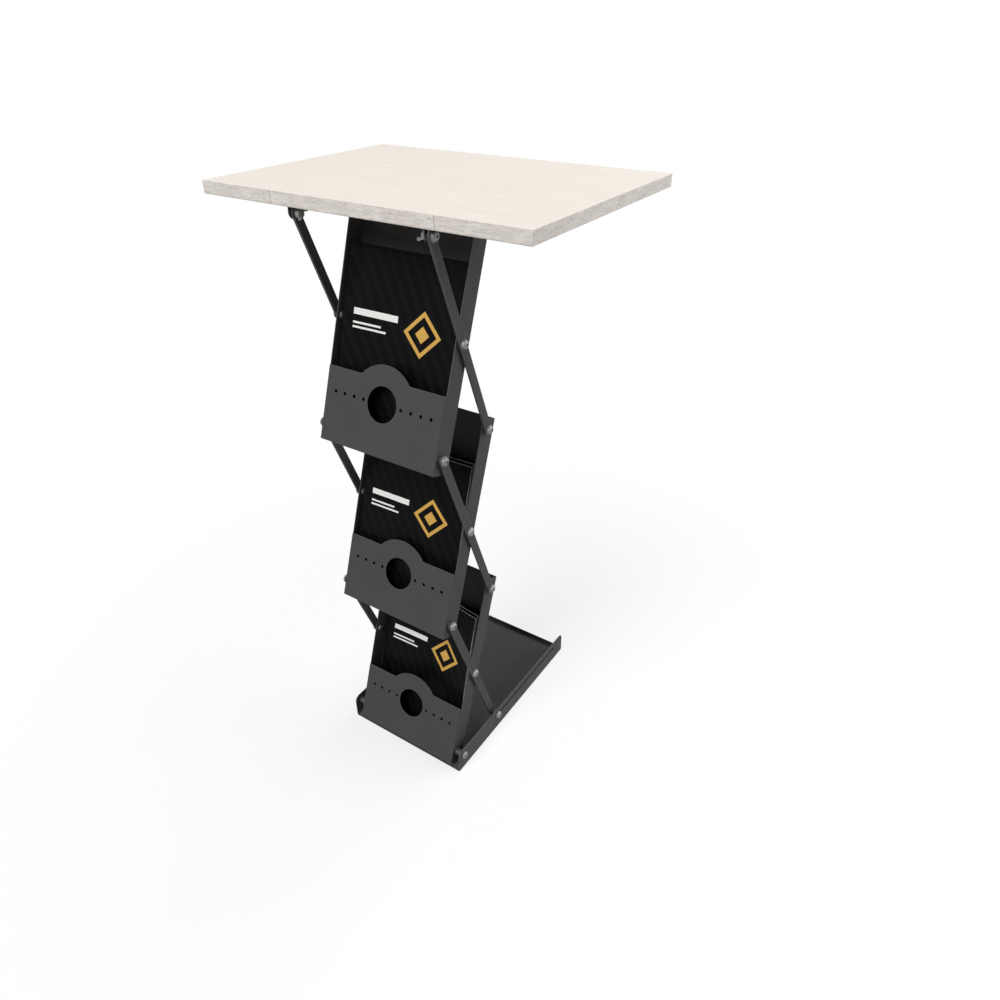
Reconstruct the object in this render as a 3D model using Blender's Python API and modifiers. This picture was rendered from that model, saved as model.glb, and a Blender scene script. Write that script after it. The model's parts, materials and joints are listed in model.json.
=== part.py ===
"""Folding exhibition counter: a scissor rack of three brochure pockets under a folding table top.

Metres, +Z up, +X to the right of someone facing the rack, front towards -Y.
The origin is on the floor, under the middle of the whole object.
"""
import math

import bmesh
import bpy
from mathutils import Matrix, Vector

# Scissor lattice: pockets lean back and bars lean forward by one angle
PIVOT_SPAN = 0.349
LEAN = math.radians(20.2)
LEVEL_NAMES = ("bottom", "middle", "top")

# Fits between pieces
GAP = 0.0003
BOLT_PLAY = 0.0004
SLIDE_PLAY = 0.0006
SWING_PLAY = 0.0012
HEAD_PLAY = 0.0044
SHELF_PLAY = 0.004
FLOOR_PLAY = 0.0029
STACK_PLAY = 0.0043

# Paper cards, A4
CARD_WIDTH = 0.210
CARD_HEIGHT = 0.297
CARD_STACK = 0.0020
CARD_SIDE_PLAY = 0.0085

# Sheet steel pockets, as wide as a card needs
SHEET = 0.0015
BEND = 0.0025
POCKET_DEPTH = 0.037
LIP_AHEAD = 0.0127
LIP_HEIGHT = 0.1215
ARCH_RISE = 0.022
ARCH_FILLET = 0.006
FINGER_HOLE_RADIUS = 0.0285
FINGER_HOLE_DROP = 0.039
ROW_HOLE_RADIUS = 0.003
ROW_HOLE_GAP = 0.0087
ROW_HOLE_MARGIN = 0.0203
ROW_HOLES = 4
SHELF_RISE = 0.0133
BACK_CHAMFER = 0.009
FLANGE_RISE = 0.016
FLANGE_CHAMFER = 0.008

# Flat side bars
BAR_WIDTH = 0.015
BAR_THICK = 0.004

# Shoulder rivets and bolts of the pivots
BOLT_RADIUS = 0.004
HEAD_OVERHANG = 0.004
HEAD_HEIGHT = 0.0055
HEAD_RIM = 0.0006
TAIL_OVERHANG = 0.0025
TAIL_HEIGHT = 0.003
TAIL_TAPER = 0.002
SHOULDER_OVERHANG = 0.0028
SHOULDER_LENGTH = 0.0017
BOLT_STANDOUT = 0.0012

# Base tray
BASE_AHEAD = 0.016
BASE_PAST_SLOT = 0.0405
BASE_ABOVE_PIVOT = 0.016
BASE_CORNER = 0.012
BASE_REAR_EDGE = 0.010

# Table top
TABLE_AHEAD = 0.022
TABLE_PAST_SLOT = 0.0335
TABLE_THICK = 0.019
LEAF_WIDTH = 0.1398
FOOT_MARGIN = 0.001
SEAM = 0.0004
PANEL_EDGE = 0.0008
HINGE_LIFT = 0.00025
HINGE_INSET = 0.080
BARREL_RADIUS = 0.006
BARREL_LENGTH = 0.016
LINK_THICK = 0.004
LINK_HALF_LENGTH = 0.008
LINK_HALF_HEIGHT = 0.002
LINK_PLAY = 0.0003
LINK_END_PLAY = 0.0009

# Brackets and rails under the table
EAR_THICK = 0.002
EAR_HALF_WIDTH = 0.010
EAR_BELOW = 0.009
BRACKET_FOOT = 0.015
RAIL_WALL = 0.002
RAIL_FOOT = 0.015
RAIL_BELOW = 0.009
RAIL_END = 0.012
RAIL_SPACE = 0.0027

# Wing nuts on the bracket bolts
WING_HUB_WALL = 0.0026
WING_HUB_LENGTH = 0.007
WING_REACH = 0.0110
WING_FLARE = 0.006
WING_THICK = 0.0022
WING_TIP_RADIUS = 0.0035
WING_TIP_TILT = math.radians(27)
WING_TURN = math.radians(35)

# Facets and mesh work
ROUND_SIDES = 12
FINGER_HOLE_SIDES = 32
ROW_HOLE_SIDES = 10
ARCH_STEPS = 14
CORNER_STEPS = 4
DOME_STEPS = 3
SHARP_ANGLE = math.radians(32)
CUT_MARGIN = 0.004
WELD = 1e-6
AXIS_MARK = 0.03

# Radii about the pivots
HOLE_RADIUS = BOLT_RADIUS + BOLT_PLAY
SLOT_RADIUS = BOLT_RADIUS + SLIDE_PLAY
HEAD_RADIUS = BOLT_RADIUS + HEAD_OVERHANG
TAIL_RADIUS = BOLT_RADIUS + TAIL_OVERHANG
SHOULDER_RADIUS = BOLT_RADIUS + SHOULDER_OVERHANG
WING_HUB_RADIUS = HOLE_RADIUS + WING_HUB_WALL

# Layers from the middle plane outwards
FLANGE_IN = CARD_WIDTH / 2 + CARD_SIDE_PLAY
FLANGE_OUT = FLANGE_IN + SHEET
BAR_IN = FLANGE_OUT + SHOULDER_LENGTH + 2 * GAP
BAR_OUT = BAR_IN + BAR_THICK
HEAD_IN = BAR_OUT + GAP
BASE_FLANGE_IN = HEAD_IN + HEAD_HEIGHT + HEAD_PLAY
BASE_FLANGE_OUT = BASE_FLANGE_IN + SHEET
BASE_HEAD_IN = BASE_FLANGE_OUT + GAP
INNER_EAR_IN = BAR_IN - GAP - EAR_THICK
OUTER_EAR_OUT = BAR_OUT + GAP + EAR_THICK
RAIL_IN = BAR_OUT + RAIL_SPACE
RAIL_OUT = RAIL_IN + RAIL_WALL
PANEL_HALF = max(OUTER_EAR_OUT + BRACKET_FOOT, RAIL_OUT + RAIL_FOOT) + FOOT_MARGIN
LEAF_IN = PANEL_HALF + SEAM / 2
LEAF_OUT = LEAF_IN + LEAF_WIDTH

# Planes of a pocket, in its own frame with the lower pivot at the origin and the front at -Y
LIP_FRONT = -LIP_AHEAD
LIP_BACK = LIP_FRONT + SHEET
FLANGE_FRONT = LIP_BACK + GAP
POCKET_BACK = LIP_FRONT + POCKET_DEPTH
SHELF_TOP = -TAIL_RADIUS - SHELF_PLAY
SHELF_BOTTOM = SHELF_TOP - SHEET
LIP_BOTTOM = SHELF_BOTTOM - SHELF_RISE
LIP_TOP = LIP_BOTTOM + LIP_HEIGHT
FINGER_HOLE_Z = LIP_TOP - FINGER_HOLE_DROP
ARCH_RADIUS = FINGER_HOLE_DROP + ARCH_RISE
ROW_HOLE_START = FINGER_HOLE_RADIUS + ROW_HOLE_GAP
ROW_HOLE_PITCH = (FLANGE_OUT - ROW_HOLE_MARGIN - ROW_HOLE_START) / (ROW_HOLES - 1)
FLANGE_TOP = PIVOT_SPAN + FLANGE_RISE
TOP_ROUND = -FLANGE_FRONT
LOWEST_SWING = max(math.hypot(LIP_FRONT, LIP_BOTTOM),
                   math.hypot(POCKET_BACK - BACK_CHAMFER, LIP_BOTTOM),
                   math.hypot(POCKET_BACK, SHELF_BOTTOM))

# Reach of the lattice as it stands, and when the folded pockets lie on each other
LEVEL_RISE = PIVOT_SPAN * math.cos(LEAN)
PIVOT_REACH = PIVOT_SPAN * math.sin(LEAN)
FOLDED_REACH = math.sqrt(PIVOT_SPAN ** 2 - (POCKET_DEPTH + STACK_PLAY) ** 2)

# Places in the world
BASE_PIVOT_HEIGHT = SHEET + LOWEST_SWING + FLOOR_PLAY
BASE_FLANGE_TOP = BASE_PIVOT_HEIGHT + BASE_ABOVE_PIVOT
BASE_BEHIND = FOLDED_REACH + BASE_PAST_SLOT
TABLE_DEPTH = TABLE_AHEAD + FOLDED_REACH + TABLE_PAST_SLOT
TABLE_PIVOT_Z = BASE_PIVOT_HEIGHT + len(LEVEL_NAMES) * LEVEL_RISE
TABLE_SWING = max(TOP_ROUND, WING_REACH, BAR_WIDTH / 2 + EAR_THICK, HEAD_RADIUS + max(EAR_THICK, RAIL_WALL))
PIVOT_DROP = TABLE_SWING + SWING_PLAY + GAP
PIVOT_Y = (TABLE_AHEAD - BASE_BEHIND) / 2
BASE_FRONT_Y = PIVOT_Y - BASE_AHEAD
BASE_REAR_Y = PIVOT_Y + BASE_BEHIND
SIDES = (("left", -1), ("right", 1))
HINGE_ROWS = {"front": HINGE_INSET - TABLE_AHEAD, "rear": TABLE_DEPTH - TABLE_AHEAD - HINGE_INSET}

# Turns that lay a flat XY outline into place
SIDE_VIEW = Matrix(((0, 0, 1), (1, 0, 0), (0, 1, 0))).to_4x4()
FRONT_VIEW = Matrix.Rotation(math.pi / 2, 4, "X")


def clear_scene():
    for thing in list(bpy.data.objects):
        bpy.data.objects.remove(thing, do_unlink=True)


def new_collection(name):
    made = bpy.data.collections.new(name)
    bpy.context.scene.collection.children.link(made)
    return made


clear_scene()
PARTS = new_collection("exhibition_counter")
CUTTERS = new_collection("cutters")


def finish_material(name, colour, roughness, metallic):
    made = bpy.data.materials.new(name)
    made.use_nodes = True
    shader = made.node_tree.nodes["Principled BSDF"]
    shader.inputs["Base Color"].default_value = (*colour, 1.0)
    shader.inputs["Roughness"].default_value = roughness
    shader.inputs["Metallic"].default_value = metallic
    return made


COATED_STEEL = finish_material("anthracite_powder_coat", (0.072, 0.070, 0.071), 0.55, 0.0)
ZINC = finish_material("zinc_plated_steel", (0.52, 0.52, 0.52), 0.38, 1.0)
LAMINATE = finish_material("whitewashed_laminate", (0.90, 0.84, 0.76), 0.50, 0.0)
PRINTED_CARD = finish_material("printed_card", (0.012, 0.012, 0.013), 0.32, 0.0)


# Meshes


def evaluated_mesh(thing):
    """The mesh of a helper object with its modifiers, welded; the helper is removed."""
    bpy.context.view_layer.update()
    graph = bpy.context.evaluated_depsgraph_get()
    mesh = bpy.data.meshes.new_from_object(thing.evaluated_get(graph))
    bpy.data.objects.remove(thing, do_unlink=True)
    work = bmesh.new()
    work.from_mesh(mesh)
    bmesh.ops.remove_doubles(work, verts=work.verts, dist=WELD)
    work.to_mesh(mesh)
    work.free()
    return mesh


def helper(name, data):
    thing = bpy.data.objects.new(name, data)
    thing.hide_render = True
    thing.display_type = "WIRE"
    CUTTERS.objects.link(thing)
    return thing


def plate(outline, thickness, turn, centre=(0, 0, 0), holes=()):
    """A flat outline with holes, given a thickness, turned and moved into place."""
    curve = bpy.data.curves.new("outline", "CURVE")
    curve.dimensions = "2D"
    curve.fill_mode = "BOTH"
    curve.extrude = thickness / 2
    for points in (outline, *holes):
        spline = curve.splines.new("POLY")
        spline.points.add(len(points) - 1)
        for point, place in zip(spline.points, points):
            point.co = (*place, 0, 1)
        spline.use_cyclic_u = True
    mesh = evaluated_mesh(helper("outline", curve))
    mesh.transform(Matrix.Translation(centre) @ turn)
    return mesh


def box(low, high):
    work = bmesh.new()
    bmesh.ops.create_cube(work, size=1.0)
    size = Vector(high) - Vector(low)
    middle = (Vector(high) + Vector(low)) / 2
    work.transform(Matrix.Translation(middle) @ Matrix.Diagonal((*size, 1)))
    mesh = bpy.data.meshes.new("box")
    work.to_mesh(mesh)
    work.free()
    return mesh


def rod(radius, start, end):
    """A solid cylinder between two points."""
    axis = Vector(end) - Vector(start)
    turn = axis.to_track_quat("Z", "Y").to_matrix().to_4x4()
    work = bmesh.new()
    bmesh.ops.create_cone(work, cap_ends=True, segments=ROUND_SIDES, radius1=radius, radius2=radius,
                          depth=axis.length)
    work.transform(Matrix.Translation((Vector(start) + Vector(end)) / 2) @ turn)
    mesh = bpy.data.meshes.new("rod")
    work.to_mesh(mesh)
    work.free()
    return mesh


def turned(profile):
    """A profile of (radius, height), running down its outer side, turned about Z."""
    mesh = bpy.data.meshes.new("profile")
    edges = [(i, i + 1) for i in range(len(profile) - 1)]
    mesh.from_pydata([(radius, 0, height) for radius, height in profile], edges, [])
    thing = helper("profile", mesh)
    screw = thing.modifiers.new("turn", "SCREW")
    screw.steps = ROUND_SIDES
    screw.render_steps = ROUND_SIDES
    screw.use_merge_vertices = True
    screw.merge_threshold = WELD
    return evaluated_mesh(thing)


def combine(mesh, tools, operation):
    """Cut away, or unite with, each of the tool meshes in turn."""
    for tool in tools:
        body = helper("body", mesh)
        change = body.modifiers.new("change", "BOOLEAN")
        change.operation = operation
        change.solver = "EXACT"
        cutter = helper("cutter", tool)
        change.object = cutter
        mesh = evaluated_mesh(body)
        bpy.data.objects.remove(cutter, do_unlink=True)
    return mesh


def moved(mesh, place):
    mesh.transform(place)
    return mesh


def node(name, mesh, material, carrier):
    """A finished sub-part, in the frame of the empty that carries it."""
    mesh.name = name
    mesh.materials.clear()
    mesh.materials.append(material)
    mesh.shade_smooth()
    mesh.set_sharp_from_angle(angle=SHARP_ANGLE)
    thing = bpy.data.objects.new(name, mesh)
    thing.parent = carrier
    PARTS.objects.link(thing)
    return thing


def carrier(name, place, parent=None):
    """An empty on a joint's axis, which carries the pieces of one moving body."""
    thing = bpy.data.objects.new(name, None)
    thing.empty_display_size = AXIS_MARK
    PARTS.objects.link(thing)
    if parent is not None:
        thing.parent = parent
    thing.matrix_local = place
    return thing


# Outlines


def arc(centre, radius, start, end, steps):
    angles = [start + (end - start) * i / steps for i in range(steps + 1)]
    return [(centre[0] + radius * math.cos(a), centre[1] + radius * math.sin(a)) for a in angles]


def ring(centre, radius, sides=ROUND_SIDES):
    return arc(centre, radius, 0, 2 * math.pi, sides)[:-1]


def stadium(start, end, radius):
    """A slot outline along its first coordinate."""
    half = math.pi / 2
    return (arc(end, radius, -half, half, ROUND_SIDES // 2)
            + arc(start, radius, half, 3 * half, ROUND_SIDES // 2))


def channel(half_width, depth):
    """A bent sheet's U section: web on the first axis, flanges rising along the second."""
    inner = BEND - SHEET
    right = (half_width - BEND, BEND)
    half_turn = math.pi / 2
    outer_half = arc(right, BEND, 0, -half_turn, CORNER_STEPS)
    inner_half = arc(right, inner, -half_turn, 0, CORNER_STEPS)
    mirror = [(-x, y) for x, y in reversed(outer_half)]
    inner_mirror = [(-x, y) for x, y in reversed(inner_half)]
    wall = half_width - SHEET
    return ([(half_width, depth)] + outer_half + mirror + [(-half_width, depth), (-wall, depth)]
            + inner_mirror + inner_half + [(wall, depth)])


def lip_outline():
    """The pocket front: straight shoulders and an arch that is concentric with the finger hole."""
    hub = (0, FINGER_HOLE_Z)
    rise = LIP_TOP + ARCH_FILLET - FINGER_HOLE_Z
    foot_x = math.sqrt((ARCH_RADIUS + ARCH_FILLET) ** 2 - rise ** 2)
    lean = math.atan2(rise, foot_x)
    foot = arc((foot_x, LIP_TOP + ARCH_FILLET), ARCH_FILLET, -math.pi / 2, lean - math.pi, CORNER_STEPS)
    crown = arc(hub, ARCH_RADIUS, lean, math.pi - lean, ARCH_STEPS)
    far_foot = [(-x, y) for x, y in reversed(foot)]
    return ([(FLANGE_OUT, LIP_BOTTOM), (FLANGE_OUT, LIP_TOP)] + foot[:-1] + crown + far_foot[1:]
            + [(-FLANGE_OUT, LIP_TOP), (-FLANGE_OUT, LIP_BOTTOM)])


def corner_prism(path, first_out, last_out, half_width):
    """A cutter across the part that takes off the corner outside a path from one edge to the next."""
    start, end = Vector(path[0]), Vector(path[-1])
    first = start + Vector(first_out) * CUT_MARGIN
    last = end + Vector(last_out) * CUT_MARGIN
    corner = (first.x, last.y) if first_out[0] else (last.x, first.y)
    return plate([first[:]] + path + [last[:], corner], 2 * half_width + CUT_MARGIN, SIDE_VIEW)


# Pivot hardware along X


def dome_head():
    """The profile of a domed head on a short straight rim, from its crown to its seat."""
    rise = HEAD_HEIGHT - HEAD_RIM
    angles = [math.pi / 2 * step / DOME_STEPS for step in range(DOME_STEPS + 1)]
    dome = [(HEAD_RADIUS * math.sin(a), HEAD_RIM + rise * math.cos(a)) for a in angles]
    return dome + [(HEAD_RADIUS, 0)]


def laid_along_x(mesh, side, seat_x, y, z):
    """A piece turned about Z, laid with its head outwards on one side of the part."""
    turn = Matrix.Rotation(side * math.pi / 2, 4, "Y")
    return moved(mesh, Matrix.Translation((side * seat_x, y, z)) @ turn)


def shoulder_rivet(side, seat_x, shoulder_out, shoulder_in, tail_x, y, z):
    """A rivet: head outside, a shoulder that keeps two walls apart and a formed tail inside."""
    out, back, tail = shoulder_out - seat_x, shoulder_in - seat_x, tail_x - seat_x
    shank = [(BOLT_RADIUS, 0), (BOLT_RADIUS, out), (SHOULDER_RADIUS, out), (SHOULDER_RADIUS, back),
             (BOLT_RADIUS, back), (BOLT_RADIUS, tail), (TAIL_RADIUS, tail),
             (TAIL_RADIUS - TAIL_TAPER, tail - TAIL_HEIGHT), (0, tail - TAIL_HEIGHT)]
    return laid_along_x(turned(dome_head() + shank), side, seat_x, y, z)


def clevis_bolt(side, seat_x, inner_x):
    """A plain bolt on the table's front pivot axis."""
    length = seat_x - inner_x
    shank = [(BOLT_RADIUS, 0), (BOLT_RADIUS, -length), (0, -length)]
    return laid_along_x(turned(dome_head() + shank), side, seat_x, 0, 0)


# Base


def build_base(base):
    half = BASE_FLANGE_OUT
    length = BASE_AHEAD + BASE_BEHIND
    middle_y = (BASE_FRONT_Y + BASE_REAR_Y) / 2
    tray = plate(channel(half, BASE_FLANGE_TOP), length, FRONT_VIEW, (0, middle_y, 0))
    quarter = math.pi / 2
    top_z = BASE_FLANGE_TOP - BASE_CORNER
    front = arc((BASE_FRONT_Y + BASE_CORNER, top_z), BASE_CORNER, math.pi, quarter, 2 * CORNER_STEPS)
    rear = arc((BASE_REAR_Y - BASE_CORNER, top_z), BASE_CORNER, 0, quarter, 2 * CORNER_STEPS)
    slot_start = (PIVOT_Y + PIVOT_REACH, BASE_PIVOT_HEIGHT)
    slot_end = (PIVOT_Y + FOLDED_REACH, BASE_PIVOT_HEIGHT)
    cuts = [corner_prism(front, (-1, 0), (0, 1), half),
            corner_prism(rear, (1, 0), (0, 1), half),
            rod(HOLE_RADIUS, (-half - CUT_MARGIN, PIVOT_Y, BASE_PIVOT_HEIGHT),
                (half + CUT_MARGIN, PIVOT_Y, BASE_PIVOT_HEIGHT)),
            plate(stadium(slot_start, slot_end, SLOT_RADIUS), 2 * half + CUT_MARGIN, SIDE_VIEW)]
    tray = combine(tray, cuts, "DIFFERENCE")
    edge_half = BASE_FLANGE_IN - GAP
    rear_edge = box((-edge_half, BASE_REAR_Y - SHEET, SHEET / 2), (edge_half, BASE_REAR_Y, BASE_REAR_EDGE))
    node("base_tray", combine(tray, [rear_edge], "UNION"), COATED_STEEL, base)
    for side, s in SIDES:
        pin = shoulder_rivet(s, BASE_HEAD_IN, BASE_FLANGE_IN - GAP, FLANGE_OUT + GAP, FLANGE_IN - GAP,
                             PIVOT_Y, BASE_PIVOT_HEIGHT)
        node("base_pin_" + side, pin, ZINC, base)


# Pockets, in the frame of the lower pivot


def pocket_tray(top_pocket):
    flange_top = PIVOT_SPAN + TOP_ROUND if top_pocket else FLANGE_TOP
    length = flange_top - LIP_BOTTOM
    turn = Matrix.Rotation(math.pi, 4, "X")
    middle_z = (flange_top + LIP_BOTTOM) / 2
    tray = plate(channel(FLANGE_OUT, POCKET_BACK - FLANGE_FRONT), length, turn, (0, POCKET_BACK, middle_z))
    chamfer = [(POCKET_BACK - BACK_CHAMFER, LIP_BOTTOM), (POCKET_BACK, SHELF_BOTTOM)]
    if top_pocket:
        crown = arc((0, PIVOT_SPAN), TOP_ROUND, math.pi, math.pi / 2, 2 * CORNER_STEPS)
    else:
        crown = [(FLANGE_FRONT, flange_top - FLANGE_CHAMFER), (FLANGE_FRONT + FLANGE_CHAMFER, flange_top)]
    cuts = [corner_prism(chamfer, (0, -1), (1, 0), FLANGE_OUT),
            corner_prism(crown, (-1, 0), (0, 1), FLANGE_OUT)]
    reach = FLANGE_OUT + CUT_MARGIN
    for z in (0, PIVOT_SPAN / 2, PIVOT_SPAN):
        cuts.append(rod(HOLE_RADIUS, (-reach, 0, z), (reach, 0, z)))
    tray = combine(tray, cuts, "DIFFERENCE")
    wall = FLANGE_OUT - SHEET / 2
    shelf = box((-wall, FLANGE_FRONT, SHELF_BOTTOM), (wall, POCKET_BACK - SHEET / 2, SHELF_TOP))
    return combine(tray, [shelf], "UNION")


def pocket_lip():
    holes = [ring((0, FINGER_HOLE_Z), FINGER_HOLE_RADIUS, FINGER_HOLE_SIDES)]
    for step in range(ROW_HOLES):
        x = ROW_HOLE_START + step * ROW_HOLE_PITCH
        holes += [ring((sx * x, FINGER_HOLE_Z), ROW_HOLE_RADIUS, ROW_HOLE_SIDES) for sx in (-1, 1)]
    return plate(lip_outline(), SHEET, FRONT_VIEW, (0, LIP_FRONT + SHEET / 2, 0), holes)


def display_card():
    back = POCKET_BACK - SHEET - GAP
    bottom = SHELF_TOP + GAP
    return box((-CARD_WIDTH / 2, back - CARD_STACK, bottom), (CARD_WIDTH / 2, back, bottom + CARD_HEIGHT))


def build_pocket(level, pocket):
    top_pocket = level == LEVEL_NAMES[-1]
    node("pocket_tray_" + level, pocket_tray(top_pocket), COATED_STEEL, pocket)
    node("pocket_lip_" + level, pocket_lip(), COATED_STEEL, pocket)
    node("display_card_" + level, display_card(), PRINTED_CARD, pocket)
    heights = {"lower": 0, "cross": PIVOT_SPAN / 2, "upper": PIVOT_SPAN}
    if level == LEVEL_NAMES[0]:
        del heights["lower"]
    if top_pocket:
        del heights["upper"]
    for side, s in SIDES:
        for place, z in heights.items():
            rivet = shoulder_rivet(s, HEAD_IN, BAR_IN - GAP, FLANGE_OUT + GAP, FLANGE_IN - GAP, 0, z)
            node("rivet_%s_%s_%s" % (place, level, side), rivet, ZINC, pocket)
        if top_pocket:
            runner = shoulder_rivet(s, RAIL_OUT + GAP, RAIL_IN - GAP, FLANGE_OUT + GAP, FLANGE_IN - GAP,
                                    0, PIVOT_SPAN)
            node("runner_pin_" + side, runner, ZINC, pocket)


# Bars, in the frame of their middle pivot


def build_bars(level, bars):
    half = PIVOT_SPAN / 2
    holes = [ring((0, z), HOLE_RADIUS) for z in (-half, 0, half)]
    end_round = BAR_WIDTH / 2
    upright = [(-y, z) for z, y in stadium((-half, 0), (half, 0), end_round)]
    for side, s in SIDES:
        middle = (s * (BAR_IN + BAR_OUT) / 2, 0, 0)
        bar = plate(upright, BAR_THICK, SIDE_VIEW, middle, holes)
        node("bar_%s_%s" % (level, side), bar, COATED_STEEL, bars)
        if level == LEVEL_NAMES[0]:
            pin = shoulder_rivet(s, BASE_HEAD_IN, BASE_FLANGE_IN - GAP, BAR_OUT + GAP, BAR_IN - GAP, 0, -half)
            node("slide_pin_" + side, pin, ZINC, bars)


# Table, in the frame of its front pivots


def table_panel(low_x, high_x, bores):
    front = -TABLE_AHEAD
    top = PIVOT_DROP + TABLE_THICK
    panel = helper("panel", box((low_x, front, PIVOT_DROP), (high_x, front + TABLE_DEPTH, top)))
    edges = panel.modifiers.new("edges", "BEVEL")
    edges.width = PANEL_EDGE
    edges.segments = 1
    return combine(evaluated_mesh(panel), bores, "DIFFERENCE")


def barrel_bore(seam_x, inward, y):
    z = PIVOT_DROP + TABLE_THICK / 2
    start = seam_x - inward * CUT_MARGIN
    end = seam_x + inward * (SEAM / 2 + BARREL_LENGTH + 2 * GAP)
    return rod(BARREL_RADIUS + GAP, (start, y, z), (end, y, z))


def hinge_barrel(seam_x, inward, y):
    """A barrel with a forked mouth at the seam, pointing into the panel on one side of it."""
    z = PIVOT_DROP + TABLE_THICK / 2
    mouth = seam_x + inward * (SEAM / 2 + GAP)
    barrel = rod(BARREL_RADIUS, (mouth, y, z), (mouth + inward * BARREL_LENGTH, y, z))
    slot_half = LINK_THICK / 2 + LINK_PLAY
    slot_end = seam_x + inward * (LINK_HALF_LENGTH + LINK_HALF_HEIGHT + LINK_END_PLAY)
    xs = sorted((mouth - inward * CUT_MARGIN, slot_end))
    reach = BARREL_RADIUS + CUT_MARGIN
    slot = box((xs[0], y - slot_half, z - reach), (xs[1], y + slot_half, z + reach))
    return combine(barrel, [slot], "DIFFERENCE")


def hinge_link(seam_x, y):
    z = PIVOT_DROP + TABLE_THICK / 2
    outline = stadium((seam_x - LINK_HALF_LENGTH, z), (seam_x + LINK_HALF_LENGTH, z), LINK_HALF_HEIGHT)
    return plate(outline, LINK_THICK, FRONT_VIEW, (0, y, 0))


def bracket(side):
    """A clevis whose two ears hold the end of a bar, on a foot that is screwed to the table."""
    seat = PIVOT_DROP - GAP
    xs = sorted((side * INNER_EAR_IN, side * (OUTER_EAR_OUT + BRACKET_FOOT)))
    top = box((xs[0], -EAR_HALF_WIDTH, seat - EAR_THICK), (xs[1], EAR_HALF_WIDTH, seat))
    round_end = arc((0, EAR_HALF_WIDTH - EAR_BELOW), EAR_HALF_WIDTH, math.pi, 2 * math.pi, 2 * CORNER_STEPS)
    ear_top = seat - EAR_THICK / 2
    ear_outline = round_end + [(EAR_HALF_WIDTH, ear_top), (-EAR_HALF_WIDTH, ear_top)]
    ears = []
    for low, high in ((INNER_EAR_IN, INNER_EAR_IN + EAR_THICK), (OUTER_EAR_OUT - EAR_THICK, OUTER_EAR_OUT)):
        middle = (side * (low + high) / 2, 0, 0)
        ears.append(plate(ear_outline, EAR_THICK, SIDE_VIEW, middle, [ring((0, 0), HOLE_RADIUS)]))
    return combine(top, ears, "UNION")


def rail(side):
    """An angle under the table whose web has the slot that the top pocket's bolts run in."""
    seat = PIVOT_DROP - GAP
    start = PIVOT_REACH - RAIL_END
    end = FOLDED_REACH + RAIL_END
    bottom = -RAIL_BELOW
    section = [(RAIL_IN, bottom), (RAIL_OUT, bottom), (RAIL_OUT, seat - RAIL_WALL),
               (RAIL_OUT + RAIL_FOOT, seat - RAIL_WALL), (RAIL_OUT + RAIL_FOOT, seat), (RAIL_IN, seat)]
    section = [(side * x, z) for x, z in section]
    angle = plate(section, end - start, FRONT_VIEW, (0, (start + end) / 2, 0))
    slot = stadium((PIVOT_REACH, 0), (FOLDED_REACH, 0), SLOT_RADIUS)
    middle = (side * (RAIL_IN + RAIL_OUT) / 2, 0, 0)
    return combine(angle, [plate(slot, RAIL_WALL + 2 * CUT_MARGIN, SIDE_VIEW, middle)], "DIFFERENCE")


def wing_nut(side):
    """A hub with two wings that flare away from the bracket, turned about its bolt."""
    face = INNER_EAR_IN - GAP
    hub_in = face - WING_HUB_LENGTH
    hub_middle = (side * (hub_in + face) / 2, 0, 0)
    bore = ring((0, 0), HOLE_RADIUS)
    hub = plate(ring((0, 0), WING_HUB_RADIUS), WING_HUB_LENGTH, SIDE_VIEW, hub_middle, [bore])
    tip = (hub_in - WING_FLARE + WING_TIP_RADIUS, WING_REACH - WING_TIP_RADIUS)
    lobe = arc(tip, WING_TIP_RADIUS, math.pi + WING_TIP_TILT, WING_TIP_TILT, 2 * CORNER_STEPS)
    root = HOLE_RADIUS + WING_HUB_WALL / 2
    outline = [(face - GAP, root), (hub_in + GAP, root)] + lobe
    wings = [plate([(side * x, way * y) for x, y in outline], WING_THICK, FRONT_VIEW) for way in (-1, 1)]
    return moved(combine(hub, wings, "UNION"), Matrix.Rotation(WING_TURN, 4, "X"))


def build_leaf(side, s, table):
    """One leaf of the table, its hinges and the links that turn half as far as the leaf."""
    seam_x = s * PANEL_HALF
    axis_z = PIVOT_DROP + TABLE_THICK + HINGE_LIFT
    leaf = carrier("leaf_axis_" + side, Matrix.Translation((seam_x, 0, axis_z)), table)
    links = carrier("link_axis_" + side, Matrix.Translation((seam_x, 0, axis_z)), table)
    to_axis = Matrix.Translation((-seam_x, 0, -axis_z))
    xs = sorted((s * LEAF_IN, s * LEAF_OUT))
    bores = [barrel_bore(seam_x, s, y) for y in HINGE_ROWS.values()]
    node("table_leaf_" + side, moved(table_panel(*xs, bores), to_axis), LAMINATE, leaf)
    for row, y in HINGE_ROWS.items():
        place = "%s_%s" % (side, row)
        node("hinge_barrel_leaf_" + place, moved(hinge_barrel(seam_x, s, y), to_axis), ZINC, leaf)
        node("hinge_link_" + place, moved(hinge_link(seam_x, y), to_axis), ZINC, links)
        node("hinge_barrel_middle_" + place, hinge_barrel(seam_x, -s, y), ZINC, table)


def build_table(table):
    edge = PANEL_HALF - SEAM / 2
    bores = [barrel_bore(s * PANEL_HALF, -s, y) for _, s in SIDES for y in HINGE_ROWS.values()]
    node("table_panel_middle", table_panel(-edge, edge, bores), LAMINATE, table)
    bolt_in = INNER_EAR_IN - GAP - WING_HUB_LENGTH - BOLT_STANDOUT
    for side, s in SIDES:
        build_leaf(side, s, table)
        node("table_bracket_" + side, bracket(s), ZINC, table)
        node("bracket_bolt_" + side, clevis_bolt(s, OUTER_EAR_OUT + GAP, bolt_in), ZINC, table)
        node("wing_nut_" + side, wing_nut(s), ZINC, table)
        node("table_rail_" + side, rail(s), COATED_STEEL, table)


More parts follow.
